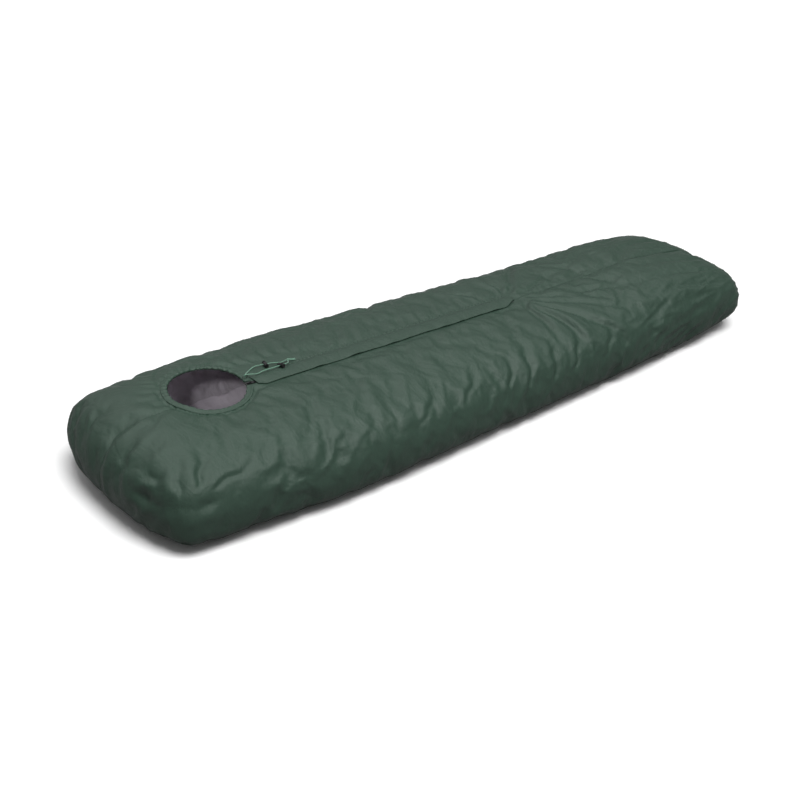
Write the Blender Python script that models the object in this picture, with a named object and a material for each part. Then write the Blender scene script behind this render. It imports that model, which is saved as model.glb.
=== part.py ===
"""A bivy sack, stuffed and lying on the ground. Metres, +Z up.

+X runs from the head end to the foot end and +Y to the sleeper's left. The origin is on the
ground under the middle of the sack. Along the sack, places are given as s, the distance from
the head end, so that X = s - LENGTH / 2.

The sewn shell is a floor and two top panels that meet on the centre line. Between them are the
drawcord face opening, the centre zip under its storm flap, and the centre seams at both ends.
Fabric is given the thickness FABRIC, so that each panel is a solid.
"""

import math

import bmesh
import bpy
import numpy as np
from mathutils import Matrix, Vector

# The stuffed sack: full widths at five places along it, and how its ends are rounded
LENGTH = 2.10
SHOULDER_AT, HIP_AT, KNEE_AT = 0.55, 1.10, 1.60
HEAD_WIDTH, SHOULDER_WIDTH, HIP_WIDTH, KNEE_WIDTH, FOOT_WIDTH = 0.594, 0.672, 0.612, 0.550, 0.480
HEAD_CORNER, FOOT_CORNER = 0.102, 0.102
HEAD_SLOPE, FOOT_SLOPE = 0.156, 0.400
CORNER_POWER, SLOPE_POWER = 2.2, 2.0

# Its section: the height of the widest line over the crown's, and the roundness of each part
SIDE_SHARE = 0.417
SIDE_POWER, CROWN_POWER, BILGE_POWER = 3.73, 2.1, 5.0
FLOOR_PRESS = 0.004  # how far the rounded underside is pressed flat

# The crown line is straight over the zip, and curves away from that line at both ends
CROWN_AT_ZIP_START, CROWN_AT_ZIP_END = 0.230, 0.210
HEAD_CROWN_RISE, FOOT_CROWN_RISE = -0.009, 0.048

# Fabric and seams
FABRIC = 0.0025
GAP = 0.0003
FLOOR_SEAM_HEIGHT = 0.016
SEAM_TAPE_WIDTH, SEAM_TAPE_THICK = 0.022, 0.0006

# The face opening and its drawcord hem
FACE_AT, FACE_Y = 0.333, 0.038
FACE_HALF_LENGTH, FACE_HALF_WIDTH = 0.098, 0.104
HEM_HALF_WIDTH, HEM_HALF_HEIGHT = 0.0090, 0.0040
HEM_END_Y = 0.0125  # from the zip's centre line to each end of the hem
HEM_END_WALL = 0.0050  # closed fabric at each end of the hem's channel
RUN_OFFSET = 0.0022  # the cord runs round the hem and back, this far each side of its middle
RUN_CLEAR = 0.0005
EYELET_Y = 0.030
EYELET_RIM, EYELET_THICK = 0.0022, 0.0012

# The zip, in the sloping frame of the crown line
ZIP_START, ZIP_LENGTH = 0.431, 0.894
ZIP_SLOT_HALF = 0.0065  # from the centre line to the fabric's edge
ZIP_TAIL = 0.012  # tape past the bottom stop
TAPE_INNER, TAPE_OUTER, TAPE_THICK = 0.0009, 0.0122, 0.0008
COIL_WIDTH, COIL_HEIGHT = 0.0024, 0.0018
STOP_LENGTH = 0.0040
SLIDER_LENGTH, SLIDER_WIDTH, SLIDER_PLATE = 0.0130, 0.0098, 0.0011
POST_LENGTH, POST_WIDTH = 0.0030, 0.0010
LUG_LENGTH, LUG_WIDTH, LUG_HEIGHT = 0.0050, 0.0020, 0.0036
LUG_SETBACK = 0.0005
PIN_RADIUS, PIN_CLEAR = 0.0006, 0.0002
PULL_WIDTH, PULL_THICK, PULL_ARM = 0.0064, 0.0014, 0.0014
PULL_LENGTH, PULL_TAIL = 0.0150, 0.0090
PULL_EAR = 0.0012

# The storm flap: its head end is tacked down, and the rest is hinged where it is sewn to the left
FLAP_START, FLAP_BREAK, FLAP_END = 0.464, 0.625, 1.318
FLAP_HALF_WIDTH, FLAP_RISE, FLAP_THICK = 0.029, 0.0060, 0.0015
FLAP_BREAK_GAP = 0.0006
BINDING_OFFSET, BINDING_WIDTH, BINDING_THICK = 0.0016, 0.0090, 0.0008

# The drawcord's free strands and the two cord locks
CORD_RADIUS = 0.0015
CORD_STEP = 0.0040
LOCK_RADIUS, LOCK_BORE, LOCK_LENGTH, LOCK_FLOOR = 0.0054, 0.0040, 0.0170, 0.0016
CORD_AT, CORD_CLEAR = 0.0120, 0.0006  # the cord's place along the barrel, from its closed end
BUTTON_TRAVEL, BUTTON_FOOT, BUTTON_CLEAR = 0.0035, 0.0017, 0.0002
BUTTON_HEAD_RADIUS, BUTTON_HEAD_LENGTH, BUTTON_HEAD_GAP = 0.0049, 0.0032, 0.0003
SPRING_WIRE, SPRING_TURNS = 0.00035, 4
KNOT_RADIUS = 0.0045

# Routes of the free strands past the eyelet: s, y and the height above the crown line.
# Hand-laid points, with a straight stretch at the height of each lock.
LOCK_A_UP = LOCK_RADIUS + GAP
LOCK_B_UP = 0.0053 + LOCK_RADIUS + GAP  # the second lock lies on the storm flap
UPPER_ROUTE = (
    (0.4500, 0.0385, 0.0070),
    (0.4580, 0.0465, 0.0038),
    (0.4680, 0.0550, 0.0019),
    (0.4790, 0.0606, 0.0026),
    (0.4900, 0.0627, 0.0048),
    (0.5000, 0.0607, LOCK_A_UP),
    (0.5200, 0.0565, LOCK_A_UP),
    (0.5380, 0.0527, LOCK_A_UP),
    (0.5480, 0.0500, 0.0046),
    (0.5600, 0.0466, 0.0032),
    (0.5720, 0.0444, 0.0052),
    (0.5774, 0.0438, 0.0061),
)
LOWER_ROUTE = (
    (0.4480, 0.0240, 0.0112),
    (0.4600, 0.0198, 0.0100),
    (0.4720, 0.0187, 0.0082),
    (0.4840, 0.0192, 0.0098),
    (0.4950, 0.0194, LOCK_B_UP),
    (0.5200, 0.0194, LOCK_B_UP),
    (0.5560, 0.0194, LOCK_B_UP),
    (0.5650, 0.0214, 0.0104),
    (0.5725, 0.0280, 0.0084),
    (0.5768, 0.0342, 0.0070),
    (0.5797, 0.0391, 0.0065),
)
UPPER_TAIL = (
    (0.5866, 0.0447, 0.0060),
    (0.5925, 0.0464, 0.0044),
    (0.5990, 0.0468, 0.0024),
    (0.6060, 0.0460, 0.0019),
)
LOWER_TAIL = (
    (0.5865, 0.0414, 0.0060),
    (0.5925, 0.0398, 0.0046),
    (0.5980, 0.0394, 0.0036),
    (0.6040, 0.0396, 0.0031),
)
# each strand's first points, from the middle of its run under the eyelet
UPPER_RISE = ((0.0, 0.0, 0.0006), (0.0, 0.0, 0.0044), (0.0019, 0.0016, 0.0080))
LOWER_RISE = ((0.0, 0.0, 0.0006), (0.0, 0.0, 0.0058), (0.0021, -0.0014, 0.0100))
KNOT_AT = (0.5820, 0.0434, 0.0063)
LOCK_A_AT, LOCK_B_AT = 0.5200, 0.5460  # s of each lock on the straight stretch of its strand
LOCK_A_STRETCH, LOCK_B_STRETCH = slice(5, 8), slice(4, 7)
LOCK_B_TILT = math.radians(14.4)  # the second lock lies on the flap's slope

# How finely the shapes are cut
STATIONS, TOP_STEPS, UNDER_STEPS = 30, 8, 6
HEM_STATIONS, HEM_SIDES, RUN_SIDES = 42, 12, 8
FLAP_STEPS = 12
ROUND_SIDES = 20

GREEN = (0.030, 0.075, 0.055)
FLOOR_GREEN = (0.022, 0.055, 0.042)
CORD_GREEN = (0.085, 0.200, 0.140)
BLACK = (0.012, 0.012, 0.013)
STEEL = (0.55, 0.55, 0.57)
GREY = (0.25, 0.22, 0.26)


def clear_scene():
    for obj in list(bpy.data.objects):
        bpy.data.objects.remove(obj, do_unlink=True)


def material(name, colour, roughness, metallic=0.0):
    made = bpy.data.materials.get(name) or bpy.data.materials.new(name)
    made.use_nodes = True
    shader = made.node_tree.nodes["Principled BSDF"]
    shader.inputs["Base Color"].default_value = (*colour, 1.0)
    shader.inputs["Roughness"].default_value = roughness
    shader.inputs["Metallic"].default_value = metallic
    return made


SHELL = material("shell_fabric", GREEN, 0.55)
FLOOR = material("floor_fabric", FLOOR_GREEN, 0.6)
CORD = material("cord", CORD_GREEN, 0.7)
PLASTIC = material("black_plastic", BLACK, 0.4)
ZIP_CLOTH = material("zip_cloth", BLACK, 0.85)
METAL = material("steel", STEEL, 0.3, 1.0)
SEAM_TAPE = material("seam_tape", GREY, 0.5)


def add(name, data, finish=None, parent=None):
    """An object with this mesh or curve; one with no finish is a cutter, and isn't built."""
    obj = bpy.data.objects.new(name, data)
    bpy.context.scene.collection.objects.link(obj)
    obj.parent = parent
    if finish:
        data.materials.append(finish)
    elif data:
        obj.hide_render = True
        obj.display_type = "WIRE"
    return obj


def mesh_from(name, points, faces):
    """A mesh of triangles whose faces all point outwards."""
    mesh = bpy.data.meshes.new(name)
    mesh.from_pydata([tuple(p) for p in points], [], [tuple(f) for f in faces])
    built = bmesh.new()
    built.from_mesh(mesh)
    bmesh.ops.recalc_face_normals(built, faces=built.faces)
    bmesh.ops.triangulate(built, faces=built.faces)
    built.to_mesh(mesh)
    built.free()
    return mesh


def block(name, low, high, finish=None, parent=None, bevel=0.0):
    """A box between two corners, with its edges rounded by bevel."""
    built = bmesh.new()
    low, high = Vector(low), Vector(high)
    bmesh.ops.create_cube(built, size=1.0)
    bmesh.ops.scale(built, vec=high - low, verts=built.verts)
    bmesh.ops.translate(built, vec=(low + high) / 2, verts=built.verts)
    if bevel:
        bmesh.ops.bevel(built, geom=built.edges[:], offset=bevel, segments=2, profile=0.5, affect="EDGES")
    mesh = bpy.data.meshes.new(name)
    built.to_mesh(mesh)
    built.free()
    return add(name, mesh, finish, parent)


def rod(name, start, end, radius, finish=None, parent=None):
    """A round bar between two points."""
    start, end = Vector(start), Vector(end)
    turned = (end - start).to_track_quat("Z", "Y").to_matrix().to_4x4()
    built = bmesh.new()
    bmesh.ops.create_cone(
        built,
        cap_ends=True,
        segments=ROUND_SIDES,
        radius1=radius,
        radius2=radius,
        depth=(end - start).length,
        matrix=Matrix.Translation((start + end) / 2) @ turned,
    )
    mesh = bpy.data.meshes.new(name)
    built.to_mesh(mesh)
    built.free()
    mesh.shade_smooth()
    mesh.set_sharp_from_angle(angle=math.radians(40))
    return add(name, mesh, finish, parent)


def swept(name, rings, finish=None, parent=None):
    """A solid bar through rings of points, capped at both ends."""
    rings = np.asarray(rings)
    count, around = rings.shape[:2]
    faces = [tuple(range(around)), tuple(range(count * around - 1, (count - 1) * around - 1, -1))]
    for i in range(count - 1):
        for j in range(around):
            k = (j + 1) % around
            faces.append((i * around + j, i * around + k, (i + 1) * around + k, (i + 1) * around + j))
    return add(name, mesh_from(name, rings.reshape(-1, 3).tolist(), faces), finish, parent)


def boolean(obj, other, operation):
    step = obj.modifiers.new(f"{operation.lower()} {other.name}", "BOOLEAN")
    step.operation = operation
    step.solver = "EXACT"
    step.object = other


# ---------------------------------------------------------------- the body's shape


def world_x(s):
    return s - LENGTH / 2


def eased(distance, radius, power):
    """0 at an end of the sack, rising as a rounded corner to 1 at radius from it."""
    share = np.clip(distance / radius, 0, 1)
    return (1 - (1 - share) ** power) ** (1 / power)


def half_width(s):
    """The sack's half width before its corners are rounded: a smooth curve through five stations."""
    at = np.array([0, SHOULDER_AT, HIP_AT, KNEE_AT, LENGTH])
    half = np.array([HEAD_WIDTH, SHOULDER_WIDTH, HIP_WIDTH, KNEE_WIDTH, FOOT_WIDTH]) / 2
    slope = np.gradient(half, at)
    i = np.clip(np.searchsorted(at, s) - 1, 0, len(at) - 2)
    span = at[i + 1] - at[i]
    t = (s - at[i]) / span
    return (
        (2 * t**3 - 3 * t**2 + 1) * half[i]
        + (t**3 - 2 * t**2 + t) * span * slope[i]
        + (3 * t**2 - 2 * t**3) * half[i + 1]
        + (t**3 - t**2) * span * slope[i + 1]
    )


CROWN_SLOPE = (CROWN_AT_ZIP_END - CROWN_AT_ZIP_START) / ZIP_LENGTH


def crown_line(s):
    """Height of the straight line that the zip follows."""
    return CROWN_AT_ZIP_START + CROWN_SLOPE * (s - ZIP_START)


def along_zip(distance):
    """World X of a place that far down the slope from the zip's start."""
    return world_x(ZIP_START) + distance * math.cos(math.atan(CROWN_SLOPE))


def crown(s):
    """Height of the crown before the ends slope down."""
    zip_end = ZIP_START + ZIP_LENGTH
    head = np.clip((ZIP_START - s) / ZIP_START, 0, None)
    foot = np.clip((s - zip_end) / (LENGTH - zip_end), 0, None)
    return crown_line(s) + HEAD_CROWN_RISE * head**2 + FOOT_CROWN_RISE * foot**2


def section(s, inset):
    """Half width, height of the widest line, rise above it and depth below it, inset all round."""
    head, foot = s - inset, LENGTH - inset - s
    corners = eased(head, HEAD_CORNER, CORNER_POWER) * eased(foot, FOOT_CORNER, CORNER_POWER)
    slopes = eased(head, HEAD_SLOPE, SLOPE_POWER) * eased(foot, FOOT_SLOPE, SLOPE_POWER)
    side = SIDE_SHARE * crown(s)
    return (
        (half_width(s) - inset) * corners,
        side,
        (crown(s) - side - inset) * slopes,
        (side - inset + FLOOR_PRESS) * slopes,
    )


def top_z(s, y):
    """Height of the top surface at distance s from the head end and y from the centre line."""
    half, side, rise, _ = section(np.asarray(s, float), 0.0)
    share = np.clip(np.abs(y) / half, 0, 1)
    return side + rise * (1 - share**SIDE_POWER) ** (1 / CROWN_POWER)


def quarter(steps, side_power, middle_power):
    """Angles from the side (0) to the middle (pi / 2), spread so that a superellipse's points are even."""
    u = np.linspace(0, 1, steps + 1)
    rise, fall = u ** (side_power / 2), (1 - u) ** (middle_power / 2)
    return math.pi / 2 * rise / (rise + fall)


def body(name, inset):
    """The sack's closed form, inset by a distance, as a cutter.

    Each section is a superellipse with its own power above and below the widest line, and the
    underside is pressed flat on the ground."""
    turn = np.linspace(0, math.pi, STATIONS)
    s = inset + (LENGTH - 2 * inset) * (1 - np.cos(turn)) / 2
    half, side, rise, depth = (part[1:-1, None] for part in section(s, inset))
    top = quarter(TOP_STEPS, CROWN_POWER, SIDE_POWER)[::-1]
    under = -quarter(UNDER_STEPS, BILGE_POWER, SIDE_POWER)[1:]
    angle = np.concatenate([top, under])
    right, up = np.abs(np.cos(angle)) ** (2 / SIDE_POWER), np.abs(np.sin(angle))
    right[0] = right[-1] = 0
    heights = np.where(
        angle >= 0,
        side + rise * up ** (2 / CROWN_POWER),
        np.maximum(side - depth * up ** (2 / BILGE_POWER), inset),
    )
    y = half * np.concatenate([right, -right[-2:0:-1]])
    z = np.concatenate([heights, heights[:, -2:0:-1]], axis=1)
    x = np.broadcast_to(world_x(s)[1:-1, None], y.shape)
    rings, around = y.shape
    points = np.stack([x, y, z], axis=-1).reshape(-1, 3).tolist()
    tip_heights = SIDE_SHARE * crown(s[[0, -1]])
    points += [(world_x(s[0]), 0, tip_heights[0]), (world_x(s[-1]), 0, tip_heights[1])]
    head, foot = rings * around, rings * around + 1
    last = (rings - 1) * around
    faces = []
    for j in range(around):
        k = (j + 1) % around
        faces += [(j, head, k), (last + j, last + k, foot)]
        for i in range(rings - 1):
            faces.append((i * around + j, i * around + k, (i + 1) * around + k, (i + 1) * around + j))
    return add(name, mesh_from(name, points, faces))


BODIES = {}


def form(inset):
    """The body at an inset, made once."""
    if inset not in BODIES:
        BODIES[inset] = body(f"form_{len(BODIES)}", inset)
    return BODIES[inset]


def skin(name, outer, inner, low, high, finish, cuts=()):
    """The layer between two insets of the body, kept inside a box and less the cutters."""
    obj = add(name, form(outer).data.copy(), finish)
    boolean(obj, form(inner), "DIFFERENCE")
    boolean(obj, block(f"{name}_keep", low, high), "INTERSECT")
    for cutter in cuts:
        boolean(obj, cutter, "DIFFERENCE")
    return obj


# ---------------------------------------------------------------- the face opening's hem


def hem_path():
    """The hem's middle line, from its left end beside the zip round the opening to its right end,
    as points (s, y), and the outward normal at each."""
    half_length, half_wide = FACE_HALF_LENGTH + HEM_HALF_WIDTH, FACE_HALF_WIDTH + HEM_HALF_WIDTH
    start = math.asin((HEM_END_Y - FACE_Y) / half_wide)
    stop = 2 * math.pi + math.asin((-HEM_END_Y - FACE_Y) / half_wide)
    turn = np.linspace(start, stop, HEM_STATIONS)
    points = np.stack([FACE_AT + half_length * np.cos(turn), FACE_Y + half_wide * np.sin(turn)], axis=1)
    normal = np.stack([half_wide * np.cos(turn), half_length * np.sin(turn)], axis=1)
    normal /= np.linalg.norm(normal, axis=1)[:, None]
    # square the two ends to the zip
    normal[[0, -1]] = (1.0, 0.0)
    return points, normal


def hem_point(points, normal, out, up):
    """Points of the hem's section, out from its middle line and up from the fabric's middle."""
    flat = points[:, None] + normal[:, None] * np.asarray(out)[None, :, None]
    middle = top_z(points[:, 0], points[:, 1]) - FABRIC / 2
    z = middle[:, None] + np.asarray(up)[None, :]
    return np.stack([world_x(flat[..., 0]), flat[..., 1], z], axis=-1)


def oval(half_wide, half_high, power, sides):
    """A superellipse section: outward and upward offsets."""
    turn = 2 * math.pi * (np.arange(sides) + 0.5) / sides
    out = half_wide * np.sign(np.cos(turn)) * np.abs(np.cos(turn)) ** (2 / power)
    return out, half_high * np.sign(np.sin(turn)) * np.abs(np.sin(turn)) ** (2 / power)


def eyelet_station(points):
    """The hem point nearest to the eyelet."""
    return int(np.argmin(np.abs(points[: len(points) // 2, 1] - EYELET_Y)))


def eyelet_centre():
    points, _ = hem_path()
    return points[eyelet_station(points)]


def face_hem():
    """The fabric channel round the opening, with the drawcord's eyelet near its left end."""
    points, normal = hem_path()
    hem = swept("face_hem", hem_point(points, normal, *oval(HEM_HALF_WIDTH, HEM_HALF_HEIGHT, 2.6, HEM_SIDES)), SHELL)
    inside = points.copy()
    inside[[0, -1], 1] += (HEM_END_WALL, -HEM_END_WALL)
    channel = oval(RUN_OFFSET + CORD_RADIUS + RUN_CLEAR, CORD_RADIUS + RUN_CLEAR, 2.6, HEM_SIDES)
    boolean(hem, swept("hem_channel", hem_point(inside, normal, *channel)), "DIFFERENCE")
    s, y = eyelet_centre()
    z = float(top_z(s, y))
    hole = RUN_OFFSET + CORD_RADIUS + RUN_CLEAR
    above = z + HEM_HALF_HEIGHT - FABRIC / 2
    foot, top = (world_x(s), y, z - FABRIC / 2), (world_x(s), y, above + 2 * HEM_HALF_HEIGHT)
    boolean(hem, rod("eyelet_hole", foot, top, hole), "DIFFERENCE")
    low, high = above + GAP, above + GAP + EYELET_THICK
    ring = rod("hem_eyelet", (world_x(s), y, low), (world_x(s), y, high), hole + EYELET_RIM, PLASTIC)
    boolean(ring, rod("eyelet_bore", foot, top, hole), "DIFFERENCE")


def drawcord_in_hem():
    """The hidden run: from under the eyelet round the hem, back at its right end, and round again."""
    points, normal = hem_path()
    points, normal = points[eyelet_station(points) : -1], normal[eyelet_station(points) : -1]
    turn = np.linspace(math.pi / 2, -math.pi / 2, 7)[1:-1]
    tangent = Vector((-normal[-1, 1], normal[-1, 0]))
    end = points[-1] + RUN_OFFSET * np.outer(np.cos(turn), tangent) + RUN_OFFSET * np.outer(np.sin(turn), normal[-1])
    route = np.concatenate([points + RUN_OFFSET * normal, end, (points - RUN_OFFSET * normal)[::-1]])
    heights = top_z(route[:, 0], route[:, 1]) - FABRIC / 2
    middle = top_z(points[:, 0], points[:, 1]) - FABRIC / 2
    heights[: len(points)] = middle
    heights[-len(points) :] = middle[::-1]
    tube("drawcord_in_hem", np.column_stack([world_x(route[:, 0]), route[:, 1], heights]))


def face_hole():
    """The cutter for the face opening: the hem's outer outline, through the top only."""
    points, normal = hem_path()
    outline = points + (HEM_HALF_WIDTH + GAP) * normal
    low, high = CROWN_AT_ZIP_END / 2, 2 * CROWN_AT_ZIP_START
    rings = [[(world_x(s), y, z) for s, y in outline] for z in (low, high)]
    return swept("face_hole", rings)


# ---------------------------------------------------------------- the sewn shell


def sewn_shell():
    far = LENGTH
    seam_top, seam_under = FLOOR_SEAM_HEIGHT + GAP / 2, FLOOR_SEAM_HEIGHT - GAP / 2
    slot = block(
        "zip_slot",
        (world_x(FACE_AT), -ZIP_SLOT_HALF, CROWN_AT_ZIP_END / 2),
        (along_zip(ZIP_LENGTH), ZIP_SLOT_HALF, 2 * CROWN_AT_ZIP_START),
    )
    cuts = (face_hole(), slot)
    skin("top_panel_left", 0.0, FABRIC, (-far, GAP / 2, seam_top), (far, far, far), SHELL, cuts)
    skin("top_panel_right", 0.0, FABRIC, (-far, -far, seam_top), (far, -GAP / 2, far), SHELL, cuts)
    skin("floor_panel", 0.0, FABRIC, (-far, -far, -far), (far, far, seam_under), FLOOR)


def seam_tapes():
    """Waterproof tapes stuck inside the shell over the centre seams and round the floor seam."""
    outer, inner = FABRIC + GAP, FABRIC + GAP + SEAM_TAPE_THICK
    half = SEAM_TAPE_WIDTH / 2
    low, high = FLOOR_SEAM_HEIGHT - half, FLOOR_SEAM_HEIGHT + half
    face_edge = FACE_AT - FACE_HALF_LENGTH - 2 * HEM_HALF_WIDTH
    head_end, foot_start = world_x(face_edge - 2 * GAP), along_zip(ZIP_LENGTH + ZIP_TAIL + GAP)
    far = LENGTH
    skin("seam_tape_head", outer, inner, (-far, -half, high + GAP), (head_end, half, far), SEAM_TAPE)
    skin("seam_tape_foot", outer, inner, (foot_start, -half, high + GAP), (far, half, far), SEAM_TAPE)
    skin("seam_tape_floor", outer, inner, (-far, -far, low), (far, far, high), SEAM_TAPE)


# ---------------------------------------------------------------- the zip and the storm flap


def zip_frame():
    """An empty at the zip's start, with its X axis down the slope of the crown line."""
    frame = add("zip_frame", None)
    frame.location = (world_x(ZIP_START), 0, CROWN_AT_ZIP_START)
    frame.rotation_euler = (0, -math.atan(CROWN_SLOPE), 0)
    return frame


TAPE_TOP = -FABRIC - GAP
COIL_TOP = TAPE_TOP + GAP + COIL_HEIGHT
PLATE_TOP = COIL_TOP + GAP + SLIDER_PLATE
SLIDER_AT = STOP_LENGTH + 2 * GAP + SLIDER_LENGTH / 2
PIN_AT = (SLIDER_AT - SLIDER_LENGTH / 2 + LUG_SETBACK + LUG_LENGTH / 2, PLATE_TOP + LUG_HEIGHT * 0.55)


def zip_halves(frame):
    """Each side's tape under the fabric, and its coil and top stop on the tape."""
    for side, turn in (("left", 1), ("right", -1)):

        def bar(name, start, end, inner, outer, low, high, finish):
            near, far = sorted((turn * inner, turn * outer))
            block(f"{name}_{side}", (start, near, low), (end, far, high), finish, frame)

        coil_end = TAPE_INNER + COIL_WIDTH
        coil_low = TAPE_TOP + GAP
        bar("zip_tape", 0, ZIP_LENGTH + ZIP_TAIL, TAPE_INNER, TAPE_OUTER, TAPE_TOP - TAPE_THICK, TAPE_TOP, ZIP_CLOTH)
        bar("zip_coil", STOP_LENGTH + GAP, ZIP_LENGTH - STOP_LENGTH - 2 * GAP, TAPE_INNER, coil_end, coil_low, COIL_TOP, PLASTIC)
        bar("zip_top_stop", 0, STOP_LENGTH, TAPE_INNER, coil_end + GAP, coil_low, COIL_TOP + 2 * GAP, PLASTIC)
    reach = TAPE_INNER + COIL_WIDTH + GAP
    start = ZIP_LENGTH - STOP_LENGTH - GAP
    block("zip_bottom_stop", (start, -reach, TAPE_TOP + GAP), (start + STOP_LENGTH, reach, COIL_TOP + 2 * GAP), METAL, frame)


def zip_slider(frame):
    """Two plates round the coils, joined by a post at the nose, with a lug for the pull's pin."""
    nose, tail = SLIDER_AT - SLIDER_LENGTH / 2, SLIDER_AT + SLIDER_LENGTH / 2
    wide = SLIDER_WIDTH / 2
    low = TAPE_TOP - TAPE_THICK - GAP - SLIDER_PLATE
    slider = block("zip_slider", (nose, -wide, COIL_TOP + GAP), (tail, wide, PLATE_TOP), PLASTIC, frame)
    under = block("slider_under_plate", (nose, -wide, low), (tail, wide, low + SLIDER_PLATE), None, frame)
    middle = (low + PLATE_TOP) / 2
    post = block(
        "slider_post",
        (nose + POST_LENGTH / 2, -POST_WIDTH / 2, low + SLIDER_PLATE / 2),
        (nose + 1.5 * POST_LENGTH, POST_WIDTH / 2, max(middle, PLATE_TOP - SLIDER_PLATE / 2)),
        None,
        frame,
    )
    lug = block(
        "slider_lug",
        (PIN_AT[0] - LUG_LENGTH / 2, -LUG_WIDTH / 2, PLATE_TOP - SLIDER_PLATE / 2),
        (PIN_AT[0] + LUG_LENGTH / 2, LUG_WIDTH / 2, PLATE_TOP + LUG_HEIGHT),
        None,
        frame,
    )
    for piece in (under, post, lug):
        boolean(slider, piece, "UNION")
    hole = PIN_RADIUS + PIN_CLEAR
    boolean(slider, rod("lug_hole", (PIN_AT[0], -wide, PIN_AT[1]), (PIN_AT[0], wide, PIN_AT[1]), hole, None, frame), "DIFFERENCE")


def zip_pull(frame):
    """A fork round the lug with its pin, and a tab that ends in a short bent tail. Its empty is
    on the pin, and at rest it lies towards the head."""
    hinge = add("pull_hinge", None, None, frame)
    hinge.location = (PIN_AT[0], 0, PIN_AT[1])
    wide, thick = PULL_WIDTH / 2, PULL_THICK / 2
    fork = LUG_LENGTH / 2 + PULL_EAR
    pull = block("zip_pull", (-fork - PULL_LENGTH, -wide, -thick), (-fork, wide, thick), PLASTIC, hinge)
    corner = -fork - PULL_LENGTH
    tail = block(
        "pull_tail", (corner, -wide - PULL_TAIL, -thick), (corner + PULL_WIDTH * 0.6, -wide + PULL_ARM, thick), None, hinge
    )
    boolean(pull, tail, "UNION")
    for turn in (-1, 1):
        near, far = sorted((turn * wide, turn * (wide - PULL_ARM)))
        arm = block(f"pull_arm_{turn}", (-fork - PULL_ARM, near, -thick), (PULL_EAR, far, thick), None, hinge)
        boolean(pull, arm, "UNION")
    inside = wide - PULL_ARM / 2
    boolean(pull, rod("pull_pin", (0, -inside, 0), (0, inside, 0), PIN_RADIUS, None, hinge), "UNION")


def flap_profile():
    """The flap's section: a low arch of even thickness from its free edge to its hinge line, where
    it ends in a half round. Points are (y, z) above the crown line."""
    y = np.linspace(-FLAP_HALF_WIDTH, FLAP_HALF_WIDTH, FLAP_STEPS + 1)
    under = GAP + FLAP_RISE * (1 - (y / FLAP_HALF_WIDTH) ** 2)
    turn = np.linspace(-math.pi / 2, math.pi / 2, 6)[1:-1]
    end_y = FLAP_HALF_WIDTH + FLAP_THICK / 2 * np.cos(turn)
    end_z = GAP + FLAP_THICK / 2 * (1 + np.sin(turn))
    top = under + FLAP_THICK
    return np.concatenate([np.stack([y, under], 1), np.stack([end_y, end_z], 1), np.stack([y, top], 1)[::-1]])


def strip(name, start, end, profile, finish, parent):
    """A section carried along the zip's frame from start to end."""
    rings = [[(x, y, z) for y, z in profile] for x in (start, end)]
    return swept(name, rings, finish, parent)


def storm_flap(frame):
    profile = flap_profile()
    start, end = FLAP_START - ZIP_START, FLAP_END - ZIP_START
    cut = FLAP_BREAK - ZIP_START
    strip("storm_flap_head", start, cut - FLAP_BREAK_GAP, profile, SHELL, frame)
    hinge = add("flap_hinge", None, None, frame)
    hinge.location = (0, FLAP_HALF_WIDTH, GAP + FLAP_THICK / 2)
    moved = profile - np.array([FLAP_HALF_WIDTH, GAP + FLAP_THICK / 2])
    strip("storm_flap", cut, end, moved, SHELL, hinge)
    near = FLAP_HALF_WIDTH + BINDING_OFFSET
    block("storm_flap_binding", (start, near, GAP), (end, near + BINDING_WIDTH, GAP + BINDING_THICK), SHELL, frame)


# ---------------------------------------------------------------- the drawcord and its locks


def placed(route):
    """World points of a route given as s, y and height above the crown line."""
    s, y, up = np.array(route).T
    return np.column_stack([world_x(s), y, crown_line(s) + up])


def smooth(points):
    """A Catmull-Rom curve through the points, read at about CORD_STEP."""
    ends = np.concatenate([[2 * points[0] - points[1]], points, [2 * points[-1] - points[-2]]])
    read = []
    for a, b, c, d in zip(ends[:-3], ends[1:-2], ends[2:-1], ends[3:]):
        steps = max(1, round(float(np.linalg.norm(c - b)) / CORD_STEP))
        t = (np.arange(steps) / steps)[:, None]
        read.append(((2 * b) + (c - a) * t + (2 * a - 5 * b + 4 * c - d) * t**2 + (3 * b - a - 3 * c + d) * t**3) / 2)
    return np.concatenate([*read, points[-1:]])


def tube(name, points):
    curve = bpy.data.curves.new(name, "CURVE")
    curve.dimensions = "3D"
    curve.bevel_depth = CORD_RADIUS
    curve.bevel_resolution = 2
    curve.use_fill_caps = True
    spline = curve.splines.new("POLY")
    spline.points.add(len(points) - 1)
    for point, (x, y, z) in zip(spline.points, points):
        point.co = (x, y, z, 1)
    return add(name, curve, CORD)


def from_eyelet(rise, side, route):
    """A strand's route, led up through the eyelet from its run on one side of the hem's middle."""
    s, y = eyelet_centre()
    return [(s + side * RUN_OFFSET + ds, y + dy, up) for ds, dy, up in rise] + list(route)


def to_knot(route, end):
    """A strand's smooth curve, with its first (0) or last (-1) point moved to meet the knot squarely."""
    points = placed(route)
    knot = placed([KNOT_AT])[0]
    away = points[1 if end == 0 else -2] - knot
    points[end] = knot + away / np.linalg.norm(away) * (KNOT_RADIUS + GAP)
    return smooth(points)


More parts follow.
